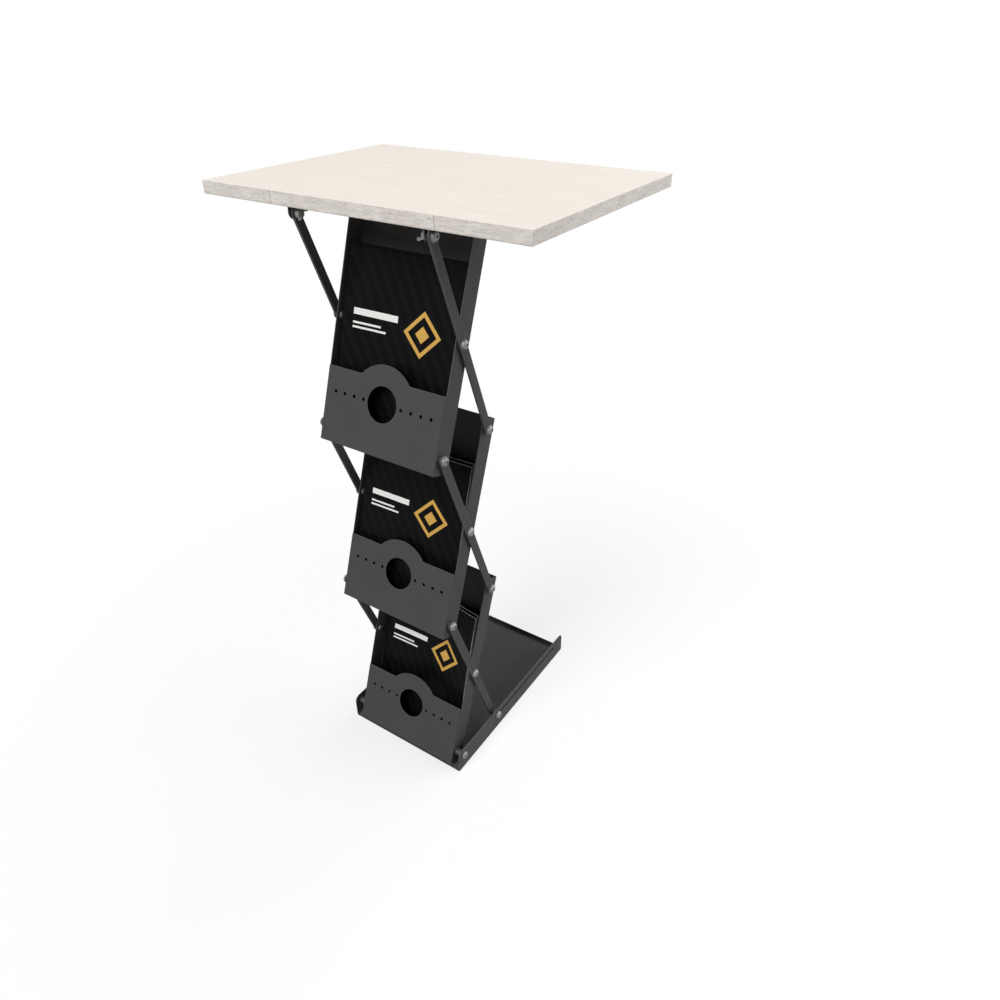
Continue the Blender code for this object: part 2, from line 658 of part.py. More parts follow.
def build():
    build_base(carrier("base", Matrix.Identity(4)))
    lean_back = Matrix.Rotation(-LEAN, 4, "X")
    lean_forward = Matrix.Rotation(LEAN, 4, "X")
    for index, level in enumerate(LEVEL_NAMES):
        low_z = BASE_PIVOT_HEIGHT + index * LEVEL_RISE
        pocket_place = Matrix.Translation((0, PIVOT_Y, low_z)) @ lean_back
        cross = (0, PIVOT_Y + PIVOT_REACH / 2, low_z + LEVEL_RISE / 2)
        cross_place = Matrix.Translation(cross) @ lean_forward
        build_pocket(level, carrier("pocket_" + level, pocket_place))
        build_bars(level, carrier("bars_" + level, cross_place))
    build_table(carrier("table", Matrix.Translation((0, PIVOT_Y, TABLE_PIVOT_Z))))


build()
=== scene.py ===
# %% [markdown]
# # A folding exhibition counter with a brochure rack
#
# The real counter is a scissor lattice: three sheet steel pockets lean back, six flat bars lean forward,
# and bolts hold them together between a base tray and a folding table top. Its construction is already
# packed as a frame of plain solids with joints. The looks could be painted on those solids, but rounded
# edges, bolt heads and paper need real shapes, so this lesson builds a finer piece over each solid and
# hangs it on the same joint.

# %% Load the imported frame
import contextlib
import json
import math
import random

import bmesh
import bpy
from mathutils import Matrix, Vector

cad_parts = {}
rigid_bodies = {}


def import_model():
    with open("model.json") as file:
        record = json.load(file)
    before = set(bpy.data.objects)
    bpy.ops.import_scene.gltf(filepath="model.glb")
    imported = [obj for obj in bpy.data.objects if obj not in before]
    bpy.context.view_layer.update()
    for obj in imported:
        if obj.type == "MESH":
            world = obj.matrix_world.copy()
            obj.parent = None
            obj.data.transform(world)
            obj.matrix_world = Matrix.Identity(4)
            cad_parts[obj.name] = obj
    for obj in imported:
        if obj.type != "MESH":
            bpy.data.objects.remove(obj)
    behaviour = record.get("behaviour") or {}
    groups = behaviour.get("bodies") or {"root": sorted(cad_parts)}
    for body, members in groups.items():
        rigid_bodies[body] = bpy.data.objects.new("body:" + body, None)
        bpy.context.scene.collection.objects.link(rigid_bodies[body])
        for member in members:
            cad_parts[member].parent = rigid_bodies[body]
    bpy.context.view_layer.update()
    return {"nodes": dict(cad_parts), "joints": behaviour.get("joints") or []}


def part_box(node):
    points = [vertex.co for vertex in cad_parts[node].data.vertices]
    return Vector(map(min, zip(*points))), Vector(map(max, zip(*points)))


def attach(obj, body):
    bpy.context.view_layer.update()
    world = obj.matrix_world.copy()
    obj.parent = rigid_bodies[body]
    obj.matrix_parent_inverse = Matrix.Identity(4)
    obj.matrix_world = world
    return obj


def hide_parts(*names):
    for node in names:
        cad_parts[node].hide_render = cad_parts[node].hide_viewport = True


for leftover in list(bpy.data.objects):
    bpy.data.objects.remove(leftover, do_unlink=True)
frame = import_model()

# %% [markdown]
# ## Frames that lean with the pieces
#
# A pocket is easy to draw upright and hard to draw tilted. Each piece could be modelled straight in the
# world, with sines and cosines everywhere. It is simpler to give every moving body its own frame at its
# pivot and to model there, so that X is across, Y is front to back and Z runs along the sheet. The pivots
# come from the joints, so the pieces stay with the construction if its sizes change.

# %% Find the pivots and the leaning frames
LEVELS = ("bottom", "middle", "top")
SIDES = {"left": -1, "right": 1}
POCKET_JOINTS = {"bottom": "fold", "middle": "pocket_middle_pivot", "top": "pocket_top_pivot"}


def pivot(joint_name):
    joint = next(j for j in frame["joints"] if j["name"] == joint_name)
    return Vector(joint["pos_m"])


half_diagonal = pivot("bars_bottom_cross") - pivot("fold")
HALF_SPAN = half_diagonal.length
LEAN = math.atan2(half_diagonal.y, half_diagonal.z)


def leaning(joint_name, angle):
    return Matrix.Translation(pivot(joint_name)) @ Matrix.Rotation(angle, 4, "X")


POCKET_FRAME = {level: leaning(POCKET_JOINTS[level], -LEAN) for level in LEVELS}
BARS_FRAME = {level: leaning("bars_%s_cross" % level, LEAN) for level in LEVELS}
TABLE_FRAME = leaning("table_pivot", 0)
LEAF_FRAME = {side: leaning("leaf_%s_fold" % side, 0) for side in SIDES}


def local_box(node, place):
    """The lowest and highest corner of a CAD node, in one of the frames."""
    to_local = place.inverted()
    points = [to_local @ vertex.co for vertex in frame["nodes"][node].data.vertices]
    return Vector(map(min, zip(*points))), Vector(map(max, zip(*points)))


def mm(metres):
    return round(1000 * metres, 3)


print("pivots are", mm(2 * HALF_SPAN), "mm apart and lean", round(math.degrees(LEAN), 2), "degrees")

# %% [markdown]
# ## Camera
#
# The photograph was taken a little above table height, from the front right. A camera could be dragged
# about until the picture looks right, but the corners and the bolt heads give some twenty points of known
# place, and solving for those gives the place, the turn and the lens at once. The numbers below are that
# solution.

# %% Place the camera
CAMERA_AT = Vector((0.7347, -0.9639, 1.2594))
CAMERA_YAW = 0.5818
CAMERA_PITCH = -0.5736
CAMERA_ROLL = -0.0067
FOCAL_PIXELS = 765.4
IMAGE_PIXELS = 1000
SENSOR_MM = 36.0


def new_object(name, data):
    made = bpy.data.objects.new(name, data)
    bpy.context.scene.collection.objects.link(made)
    return made


lens = bpy.data.cameras.new("photo_camera")
lens.sensor_width = SENSOR_MM
lens.lens = FOCAL_PIXELS / IMAGE_PIXELS * SENSOR_MM
camera = new_object("photo_camera", lens)
camera.matrix_world = (Matrix.Translation(CAMERA_AT)
                       @ Matrix.Rotation(CAMERA_YAW, 4, "Z")
                       @ Matrix.Rotation(math.pi / 2 + CAMERA_PITCH, 4, "X")
                       @ Matrix.Rotation(CAMERA_ROLL, 4, "Z"))
bpy.context.scene.camera = camera
print("lens", round(lens.lens, 2), "mm")

# %% [markdown]
# ## White floor
#
# The object stands on white. White could be forced with very bright lamps, but those would bleach the
# table top. Instead the floor shows white only to the camera and to reflections, and throws less light back
# at the object. Close to the object it keeps some of its own shading, so the contact shadow stays. A finish
# is a small web of nodes, and wiring those one call at a time soon fills pages, so three short helpers come
# first: one feeds sockets with numbers or with other nodes, one adds a node and one does sums.

# %% Wire the white floor
FLOOR_SEEN = 1.0
FLOOR_BOUNCE = 0.40
SHADOW_SHARE = 0.30
SHADOW_FADE = (0.40, 1.10)


def feed(tree, made, sources):
    """Set sockets to constants, or link them to the outputs of other nodes."""
    for socket, source in dict(sources).items():
        if isinstance(source, bpy.types.NodeSocket):
            tree.links.new(source, made.inputs[socket])
        else:
            made.inputs[socket].default_value = source


def add(tree, kind, sources=(), **settings):
    """A new node with its settings, and with what feeds its sockets."""
    made = tree.nodes.new("ShaderNode" + kind)
    for name, value in settings.items():
        setattr(made, name, value)
    feed(tree, made, sources)
    return made


def calc(tree, operation, *values):
    return add(tree, "Math", enumerate(values), operation=operation).outputs[0]


def seen_directly(tree):
    """1 for what the camera sees by itself, in a mirror or through glass."""
    path = add(tree, "LightPath")
    seen = calc(tree, "MAXIMUM", path.outputs["Is Camera Ray"], path.outputs["Is Glossy Ray"])
    return calc(tree, "MAXIMUM", seen, path.outputs["Is Transmission Ray"])


def white_floor():
    finish = bpy.data.materials.new("white_floor")
    finish.use_nodes = True
    tree = finish.node_tree
    tree.nodes.clear()
    seen = seen_directly(tree)
    tone = calc(tree, "MULTIPLY_ADD", seen, FLOOR_SEEN - FLOOR_BOUNCE, FLOOR_BOUNCE)
    paper = add(tree, "BsdfDiffuse", {"Color": tone}).outputs[0]
    glow = add(tree, "Emission").outputs[0]
    where = add(tree, "TexCoord").outputs["Object"]
    spread = add(tree, "VectorMath", {0: where}, operation="LENGTH").outputs["Value"]
    shares = enumerate((spread, *SHADOW_FADE, 1.0 - SHADOW_SHARE, 1.0))
    fade = add(tree, "MapRange", shares, interpolation_type="SMOOTHSTEP").outputs[0]
    mix = add(tree, "MixShader", {0: calc(tree, "MULTIPLY", fade, seen), 1: paper, 2: glow})
    add(tree, "OutputMaterial", {0: mix.outputs[0]})
    return finish


floor_finish = white_floor()
print("white floor:", len(floor_finish.node_tree.nodes), "nodes")

# %% [markdown]
# ## Floor and world
#
# A photographer's sweep would be a curved sheet of paper. Here a flat floor is enough, because the world
# behind it is just as white and the seam between them can't be seen. The world also lights the object a
# little from all sides, as the walls of a studio do, but far less than it shows.

# %% Lay the floor and light the world
FLOOR_DROP = 0.0005
FLOOR_HALF = 30.0
AMBIENT = 0.09
WHITE = (1.0, 1.0, 1.0, 1.0)


@contextlib.contextmanager
def editing(mesh):
    """Open a mesh for editing, and write it back at the end."""
    work = bmesh.new()
    work.from_mesh(mesh)
    yield work
    work.to_mesh(mesh)
    work.free()


def add_floor(finish):
    mesh = bpy.data.meshes.new("studio_floor")
    with editing(mesh) as work:
        bmesh.ops.create_grid(work, x_segments=1, y_segments=1, size=FLOOR_HALF)
    mesh.materials.append(finish)
    floor = new_object("studio_floor", mesh)
    floor.location.z = -FLOOR_DROP


def light_world():
    world = bpy.data.worlds.new("studio_world")
    bpy.context.scene.world = world
    world.use_nodes = True
    tree = world.node_tree
    tree.nodes.clear()
    seen = seen_directly(tree)
    hidden = calc(tree, "SUBTRACT", 1.0, seen)
    strength = calc(tree, "MULTIPLY_ADD", hidden, AMBIENT, seen)
    backdrop = add(tree, "Background", {"Color": WHITE, "Strength": strength})
    add(tree, "OutputWorld", {0: backdrop.outputs[0]})


add_floor(floor_finish)
light_world()
print("floor:", 2 * FLOOR_HALF, "m wide, under a world of strength", AMBIENT)

# %% [markdown]
# ## Softboxes
#
# One large soft light hangs in front of the object, one stands behind its right side and one hangs behind
# it, so that the lips, the right flanges and the base are lit while the insides of the pockets and the left
# bars stay dark. A single lamp would leave half of the dark steel black. The lamps stay at the level where
# a colour renders about as it is written.

# %% Hang the softboxes
SOFTBOXES = {"front": ((-0.4, -4.6, 4.5), (0.0, -0.1, 0.5), 3.0, 290.0),
             "right_rear": ((3.6, 2.2, 2.2), (0.0, 0.0, 0.6), 3.0, 118.0),
             "rear": ((0.8, 4.0, 4.2), (0.0, 0.1, 0.3), 2.6, 100.0)}


def add_softbox(name, at, aim, size, watts):
    data = bpy.data.lights.new(name, "AREA")
    data.shape = "SQUARE"
    data.size = size
    data.energy = watts
    lamp = new_object(name, data)
    lamp.location = at
    lamp.rotation_euler = (Vector(aim) - Vector(at)).to_track_quat("-Z", "Y").to_euler()


for softbox, settings in SOFTBOXES.items():
    add_softbox(softbox, *settings)
bpy.context.scene.view_settings.view_transform = "Standard"
print("studio:", len(SOFTBOXES), "softboxes")

# %% [markdown]
# ## How a finish starts
#
# No real surface is one even colour. Each recipe below starts from Blender's Principled shader and from the
# piece's own coordinates, so that the pattern stays on the piece when it moves. A noise gives clouds. A
# ramp turns a noise into tones, a range turns it into roughness, and a bump turns it into relief. The same
# could be painted by hand on every piece, but a recipe serves them all and stays sharp at any distance.

# %% Helpers for clouds, tones and bumps
NOISE_SPAN = (0.3, 0.7)


def new_finish(name):
    """An empty node material, its Principled shader and the coordinates of the piece that wears it."""
    finish = bpy.data.materials.new(name)
    finish.use_nodes = True
    tree = finish.node_tree
    shader = tree.nodes["Principled BSDF"]
    where = add(tree, "TexCoord").outputs["Object"]
    return finish, tree, shader, where


def cloud(tree, where, scale, detail=2.0, distortion=0.0):
    sources = {"Vector": where, "Scale": scale, "Detail": detail, "Distortion": distortion}
    return add(tree, "TexNoise", sources).outputs["Fac"]


def ramp(tree, factor, *stops):
    """A colour or grey that follows a factor; each stop is (place, colour)."""
    made = add(tree, "ValToRGB", {0: factor})
    while len(made.color_ramp.elements) < len(stops):
        made.color_ramp.elements.new(1.0)
    for element, (place, colour) in zip(made.color_ramp.elements, stops):
        element.position = place
        element.color = (*colour, 1.0)
    return made.outputs[0]


def between(tree, factor, low, high):
    """Spread a noise, which lies around one half, over a range of values."""
    return add(tree, "MapRange", enumerate((factor, *NOISE_SPAN, low, high))).outputs[0]


def roughen(tree, shader, height, strength, distance):
    bump = add(tree, "Bump", {"Strength": strength, "Distance": distance, "Height": height})
    feed(tree, shader, {"Normal": bump.outputs[0]})


print("noise from", NOISE_SPAN[0], "to", NOISE_SPAN[1], "is spread over each range")

# %% [markdown]
# ## Powder coat
#
# The steel is sprayed with anthracite powder and baked. Up close the skin has a fine orange peel, and from
# a step away it clouds a little because the coat is never equally thick. One grey would look like plastic.
# Slow noises shift colour and gloss, and a fast one bumps the surface. Where hands and other pieces rub
# along an edge the coat is paler and smoother, so the edges get a mix of their own. Its paler colour is
# partly that wear and partly a painted highlight for the glint along each edge. The base gets a paler mix
# too, partly for the fine dust that it collects and partly as painted light on the base.

# %% Mix the powder coat, its rubbed edges with a painted highlight and its dusty base kind with painted light
COAT_CLOUDS = 7.0
COAT_SHEEN = 42.0
COAT_PEEL = 950.0
THIN_COAT = 0.92
SHEEN_SWING = 0.06


def mix_powder_coat(name, colour, rough, gloss):
    finish, tree, shader, where = new_finish(name)
    thin = tuple(THIN_COAT * part for part in colour)
    tone = ramp(tree, cloud(tree, where, COAT_CLOUDS, detail=3.0), (0.35, thin), (0.65, colour))
    sheen = cloud(tree, where, COAT_SHEEN)
    feed(tree, shader, {"Base Color": tone,
                        "Roughness": between(tree, sheen, rough - SHEEN_SWING, rough + SHEEN_SWING),
                        "Specular IOR Level": gloss})
    roughen(tree, shader, cloud(tree, where, COAT_PEEL, detail=1.0), strength=0.16, distance=0.0003)
    return finish


POWDER_COAT = mix_powder_coat("anthracite_coat", (0.074, 0.073, 0.073), rough=0.62, gloss=0.08)
# The paler rubbed edge coat is partly wear and partly a painted highlight for the glint along each edge.
RUBBED_EDGE_HIGHLIGHT_COAT = mix_powder_coat("rubbed_edge_highlight_coat", (0.110, 0.109, 0.109), rough=0.46, gloss=0.30)
# The base coat is paler than the pocket coat, partly for fine dust and partly as painted light on the base.
DUST_AND_PAINTED_LIGHT_COAT = mix_powder_coat("dust_and_painted_light_coat", (0.090, 0.089, 0.087), rough=0.66, gloss=0.08)
print("mixed", POWDER_COAT.name, RUBBED_EDGE_HIGHLIGHT_COAT.name, "and", DUST_AND_PAINTED_LIGHT_COAT.name)

# %% [markdown]
# ## Zinc
#
# Bolts, sleeves and hinges are zinc plated: a grey metal that is dull where it has been handled. A mirror
# metal would flash in the render. Here the metal shader gets a blotchy roughness, and each bolt takes its
# own shade from the random number that Blender gives every object. The clevis sheet under the table and the
# sleeves between the sheets are the same metal painted darker, as painted shade.

# %% Mix the bright zinc and the zinc darkened as painted shade
ZINC_BLOTCHES = 260.0
ZINC_SHEEN = 600.0
ZINC_GRAIN = 1800.0
BOLT_SWING = 0.30
YELLOWING = 0.98


def mix_zinc(name, dark, pale):
    finish, tree, shader, where = new_finish(name)
    blotches = calc(tree, "SUBTRACT", cloud(tree, where, ZINC_BLOTCHES, detail=3.0), BOLT_SWING / 2)
    own_number = add(tree, "ObjectInfo").outputs["Random"]
    shade = calc(tree, "MULTIPLY_ADD", own_number, BOLT_SWING, blotches)
    tone = ramp(tree, shade, (0.25, (dark,) * 3), (0.75, (pale, pale, pale * YELLOWING)))
    sheen = between(tree, cloud(tree, where, ZINC_SHEEN), 0.50, 0.66)
    feed(tree, shader, {"Base Color": tone, "Metallic": 1.0, "Roughness": sheen})
    roughen(tree, shader, cloud(tree, where, ZINC_GRAIN, detail=1.0), strength=0.10, distance=0.0002)
    return finish


BRIGHT_ZINC = mix_zinc("bright_zinc", dark=0.17, pale=0.27)
# Darker zinc as painted shade, for the clevises under the table and the sleeves between the sheets.
PAINTED_SHADE_ZINC = mix_zinc("painted_shade_zinc", dark=0.06, pale=0.11)
print("mixed", BRIGHT_ZINC.name, "and", PAINTED_SHADE_ZINC.name)

# %% [markdown]
# ## Whitewashed laminate
#
# The table is board faced with a pale wood print: almost plain cream on top, and greyer with wavy streaks
# along its edge bands. A wave texture gives stripes that are too even. Stretching one noise along the grain
# and bending it a little gives broken streaks, and the same recipe serves the top and both edge bands when
# only the stretch and the tones change.

# %% Mix the laminate
GRAIN_ALONG_X = (3.0, 46.0, 46.0)
EDGE_ALONG_X = (34.0, 210.0, 210.0)
EDGE_ALONG_Y = (210.0, 34.0, 210.0)
TOP_TONES = ((0.875, 0.800, 0.710), (0.900, 0.828, 0.742))
EDGE_TONES = ((0.665, 0.615, 0.575), (0.840, 0.785, 0.740))
LINE_GLOSS = 0.08


def mix_laminate(name, stretch, tones, streak, rough):
    """Tones are the dark and the pale end of the grain; streak is how dark the fine lines are."""
    finish, tree, shader, where = new_finish(name)
    along = add(tree, "Mapping", {"Vector": where, "Scale": stretch}).outputs[0]
    grain = cloud(tree, along, 1.0, detail=5.0, distortion=0.7)
    lines = cloud(tree, along, 2.2, detail=4.0, distortion=1.8)
    layers = {"Factor": 1.0,
              "A": ramp(tree, grain, (0.30, tones[0]), (0.70, tones[1])),
              "B": ramp(tree, lines, (0.36, (1.0 - streak,) * 3), (0.52, (1.0,) * 3))}
    worn = add(tree, "Mix", layers, data_type="RGBA", blend_type="MULTIPLY")
    feed(tree, shader, {"Base Color": worn.outputs["Result"],
                        "Roughness": between(tree, lines, rough + LINE_GLOSS, rough),
                        "Specular IOR Level": 0.35})
    roughen(tree, shader, lines, strength=0.12, distance=0.0003)
    return finish


TABLE_TOP = mix_laminate("table_top_laminate", GRAIN_ALONG_X, TOP_TONES, streak=0.03, rough=0.40)
LONG_EDGE = mix_laminate("long_edge_band", EDGE_ALONG_X, EDGE_TONES, streak=0.22, rough=0.46)
SHORT_EDGE = mix_laminate("short_edge_band", EDGE_ALONG_Y, EDGE_TONES, streak=0.22, rough=0.46)
print("mixed", TABLE_TOP.name, LONG_EDGE.name, "and", SHORT_EDGE.name)

# %% [markdown]
# ## Pressed chips
#
# Where the board is bored for its hinges, its inside shows: chips of wood pressed with glue. A noise is too
# soft for that. A Voronoi texture breaks the surface into cells with hard borders, which read as chips.

# %% Mix the chipboard
CHIP_SCALE = 420.0


def mix_chipboard():
    finish, tree, shader, where = new_finish("pressed_chips")
    chips = add(tree, "TexVoronoi", {"Vector": where, "Scale": CHIP_SCALE}).outputs["Distance"]
    tone = ramp(tree, chips, (0.1, (0.42, 0.29, 0.17)), (0.8, (0.62, 0.47, 0.30)))
    feed(tree, shader, {"Base Color": tone, "Roughness": 0.9})
    roughen(tree, shader, chips, strength=0.4, distance=0.0005)
    return finish


CHIPBOARD = mix_chipboard()
print("mixed", CHIPBOARD.name)

# %% [markdown]
# ## Printed covers
#
# Each pocket shows dark A4 covers. Their print could be an image, but a mark made of sums stays sharp at
# any size: a diamond is where the distances across and up add up to less than a number, and a bar is where
# both are small. The design is a plain one of its own: a gold diamond, pale bars in place of words and a
# faint slanting stripe.

# %% Mix the print
MARK_AT = (0.042, 0.172)
MARK_REACH = 0.031
MARK_STROKE = 0.0042
MARK_CORE = 0.013
BARS_OF_TYPE = (((-0.046, 0.186), (0.040, 0.0050)),
                ((-0.061, 0.169), (0.025, 0.0016)),
                ((-0.056, 0.162), (0.030, 0.0016)))
STRIPE_STEP = 0.011
STRIPE_SLANT = 0.6
STRIPE_SHARE = 0.42
COVER_INK = (0.0030, 0.0030, 0.0031)
THIN_INK = tuple(1.25 * part for part in COVER_INK)
STRIPE_INK = (0.0058, 0.0058, 0.0060)
GOLD_INK = (0.66, 0.39, 0.095)
PALE_INK = (0.86, 0.85, 0.83)
INK_CLOUDS = 30.0
INK_SHEEN = 160.0
CARD_GRAIN = 700.0


def below(tree, value, limit):
    return calc(tree, "LESS_THAN", value, limit)


def off(tree, value, centre):
    return calc(tree, "ABSOLUTE", calc(tree, "SUBTRACT", value, centre))


def printed(tree, under, mask, ink):
    layers = {"Factor": mask, "A": under, "B": (*ink, 1.0)}
    return add(tree, "Mix", layers, data_type="RGBA").outputs["Result"]


def mix_print():
    finish, tree, shader, where = new_finish("cover_print")
    split = add(tree, "SeparateXYZ", {0: where})
    across, up = split.outputs["X"], split.outputs["Z"]
    sheet = ramp(tree, cloud(tree, where, INK_CLOUDS), (0.3, COVER_INK), (0.7, THIN_INK))
    slant = calc(tree, "ADD", across, calc(tree, "MULTIPLY", up, STRIPE_SLANT))
    stripe = calc(tree, "PINGPONG", slant, STRIPE_STEP)
    sheet = printed(tree, sheet, below(tree, stripe, STRIPE_STEP * STRIPE_SHARE), STRIPE_INK)
    reach = calc(tree, "ADD", off(tree, across, MARK_AT[0]), off(tree, up, MARK_AT[1]))
    outline = below(tree, off(tree, reach, MARK_REACH), MARK_STROKE)
    gold = calc(tree, "MAXIMUM", outline, below(tree, reach, MARK_CORE))
    sheet = printed(tree, sheet, gold, GOLD_INK)
    for (bar_x, bar_z), (half_long, half_tall) in BARS_OF_TYPE:
        bar = calc(tree, "MULTIPLY", below(tree, off(tree, across, bar_x), half_long),
                   below(tree, off(tree, up, bar_z), half_tall))
        sheet = printed(tree, sheet, bar, PALE_INK)
    sheen = between(tree, cloud(tree, where, INK_SHEEN), 0.30, 0.40)
    feed(tree, shader, {"Base Color": sheet, "Roughness": sheen, "Specular IOR Level": 0.04})
    roughen(tree, shader, cloud(tree, where, CARD_GRAIN), strength=0.05, distance=0.0002)
    return finish


COVER_PRINT = mix_print()
print("mixed", COVER_PRINT.name, "with", len(COVER_PRINT.node_tree.nodes), "nodes")

# %% [markdown]
# ## Cut paper
#
# Behind the print the leaflets are bare paper, and it shows along every cut edge. Plain white would glow
# between the dark covers. A fine noise between two greys stands for the fibres of the cut.

# %% Mix the paper
FIBRE_SCALE = 900.0


def mix_paper():
    finish, tree, shader, where = new_finish("cut_paper")
    fibres = cloud(tree, where, FIBRE_SCALE, detail=3.0)
    tone = ramp(tree, fibres, (0.3, (0.52, 0.51, 0.49)), (0.7, (0.70, 0.69, 0.66)))
    feed(tree, shader, {"Base Color": tone, "Roughness": 0.85})
    roughen(tree, shader, fibres, strength=0.15, distance=0.0002)
    return finish


CUT_PAPER = mix_paper()
print("mixed", CUT_PAPER.name)

# %% [markdown]
# ## Pieces with rounded edges
#
# No real edge is a knife, and a rounded edge is what catches the light. The roundings could be modelled
# edge by edge, but a narrow bevel finds every sharp edge by itself, and on coated sheet it takes the paler
# rubbed coat, which is partly wear and partly a painted highlight. Every piece also needs a place, a finish
# and a body to ride on, and most stand for a solid of the frame.

# %% Helpers that place a piece and round its edges
WELD = 1e-6
FLAT = math.radians(0.4)
SHARP = math.radians(30)
BEVEL_STEPS = 3


def tidy(mesh):
    """Weld the corners and melt the triangles of each flat face into one face."""
    with editing(mesh) as work:
        bmesh.ops.remove_doubles(work, verts=work.verts, dist=WELD)
        bmesh.ops.dissolve_limit(work, angle_limit=FLAT, verts=work.verts, edges=work.edges)
    return mesh


def place_piece(name, mesh, finish, place, body, *nodes):
    """Put a piece in its frame, hang it on its body and let it stand for its CAD nodes."""
    if not mesh.materials:
        mesh.materials.append(finish)
    piece = new_object(name, mesh)
    piece.matrix_world = place
    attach(piece, body)
    if nodes:
        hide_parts(*nodes)
    return piece


def round_edges(piece, width, method="ANGLE"):
    """Round the sharp or the marked edges; on coated sheet they take the paler rubbed coat, partly wear and
    partly a painted highlight.
    """
    piece.data.shade_smooth()
    bevel = piece.modifiers.new("rounded_edges", "BEVEL")
    bevel.width = width
    bevel.segments = BEVEL_STEPS
    bevel.limit_method = method
    bevel.angle_limit = SHARP
    # Coated edges take the paler rubbed coat: partly wear, partly a painted highlight along each edge.
    if piece.data.materials[0] in (POWDER_COAT, DUST_AND_PAINTED_LIGHT_COAT):
        piece.data.materials.append(RUBBED_EDGE_HIGHLIGHT_COAT)
        bevel.material = 1
    bevel.use_clamp_overlap = False
    bevel.harden_normals = True
    shading = piece.modifiers.new("even_shading", "WEIGHTED_NORMAL")
    shading.keep_sharp = True


def dressed(name, node, finish, place, body, edge):
    """A finer copy of a CAD node whose shape is right: welded, with its edges rounded."""
    mesh = frame["nodes"][node].data.copy()
    mesh.materials.clear()
    mesh.transform(place.inverted())
    round_edges(place_piece(name, tidy(mesh), finish, place, body, node), edge)


print("edges that turn more than", round(math.degrees(SHARP)), "degrees get rounded")

# %% [markdown]
# ## Base and pocket trays
#
# The base is a sheet folded up at both sides, and each pocket is the same fold stood on end with a shelf
# across it. Their bends and cut corners are already right in the frame, so modelling them again would only
# risk a misfit. They are copied, and a bevel of a third of a millimetre takes the knife edge off the sheet.

# %% Dress the base and the trays
SHEET_EDGE = 0.00035

# The base wears the paler coat: partly fine dust, partly painted light.
dressed("base_sheet", "base_tray", DUST_AND_PAINTED_LIGHT_COAT, Matrix.Identity(4), "base", SHEET_EDGE)
for level in LEVELS:
    dressed("pocket_sheet_" + level, "pocket_tray_" + level, POWDER_COAT, POCKET_FRAME[level],
            "pocket_" + level, SHEET_EDGE)
print("dressed the base and", len(LEVELS), "pocket trays")

# %% [markdown]
# ## Plates from outlines
#
# Lips, bars, wings and links are all flat outlines with a thickness. Their faces could be listed by hand,
# but Blender fills a flat curve by itself, holes included. A face with several holes in it is then split
# along a line through them, because a bevel runs cleanly round a hole only where the face beside it is
# simple.

# %% Helpers for outlines and plates
def arc(centre, radius, start, end, steps):
    turns = [start + (end - start) * step / steps for step in range(steps + 1)]
    return [(centre[0] + radius * math.cos(turn), centre[1] + radius * math.sin(turn)) for turn in turns]


def circle(centre, radius, sides, phase=0.0):
    return arc(centre, radius, phase, phase + 2 * math.pi, sides)[:-1]


def evaluated(helper):
    """The final mesh of a helper object, which is then removed."""
    bpy.context.view_layer.update()
    graph = bpy.context.evaluated_depsgraph_get()
    mesh = bpy.data.meshes.new_from_object(helper.evaluated_get(graph))
    bpy.data.objects.remove(helper, do_unlink=True)
    return mesh


def plate(outline, holes, thickness):
    """A flat outline with holes, in XY, with its middle plane at Z = 0."""
    curve = bpy.data.curves.new("outline", "CURVE")
    curve.dimensions = "2D"
    curve.fill_mode = "BOTH"
    curve.extrude = thickness / 2
    for ring in (outline, *holes):
        spline = curve.splines.new("POLY")
        spline.points.add(len(ring) - 1)
        for point, place in zip(spline.points, ring):
            point.co = (*place, 0.0, 1.0)
        spline.use_cyclic_u = True
    return tidy(evaluated(new_object("outline", curve)))


def halve(mesh, point, normal):
    """Split flat faces along a plane through their holes, so that a bevel runs cleanly round each hole."""
    with editing(mesh) as work:
        geometry = work.verts[:] + work.edges[:] + work.faces[:]
        found = bmesh.ops.bisect_plane(work, geom=geometry, dist=WELD, plane_co=point, plane_no=normal)
        for part in found["geom_cut"]:
            if isinstance(part, bmesh.types.BMEdge):
                part.seam = True
        bmesh.ops.dissolve_limit(work, angle_limit=FLAT, verts=work.verts, edges=work.edges,
                                 delimit={"SEAM"})
    return mesh


print("plates are welded within", mm(WELD), "mm")

# %% [markdown]
# ## Pocket lips
#
# The lip keeps the brochures in. Its upper edge rises to an arch over a finger hole and runs into the
# shoulders on small fillets. The arch could be drawn by eye, but it is concentric with the finger hole, so
# a few sums place it exactly. The upright sides are folded on the real pocket, so they get a much rounder
# corner than the cut edges.

# %% Draw the lip and fold its sides
ARCH_RISE = 0.022
ARCH_FILLET = 0.006
FILLET_STEPS = 8
CROWN_STEPS = 48
FOLD_RADIUS = 0.0013
FOLD_STEPS = 5
ROUND = 0.5


def lip_outline(half, bottom, top, hub):
    arch = top + ARCH_RISE - hub[1]
    rise = top + ARCH_FILLET - hub[1]
    foot_x = math.sqrt((arch + ARCH_FILLET) ** 2 - rise ** 2)
    tilt = math.atan2(rise, foot_x)
    foot = arc((foot_x, top + ARCH_FILLET), ARCH_FILLET, -math.pi / 2, tilt - math.pi, FILLET_STEPS)
    crown = arc(hub, arch, tilt, math.pi - tilt, CROWN_STEPS)
    far_foot = [(-x, z) for x, z in reversed(foot)]
    upper_edge = [(half, top)] + foot[:-1] + crown + far_foot[1:] + [(-half, top)]
    return [(half, bottom)] + upper_edge + [(-half, bottom)]


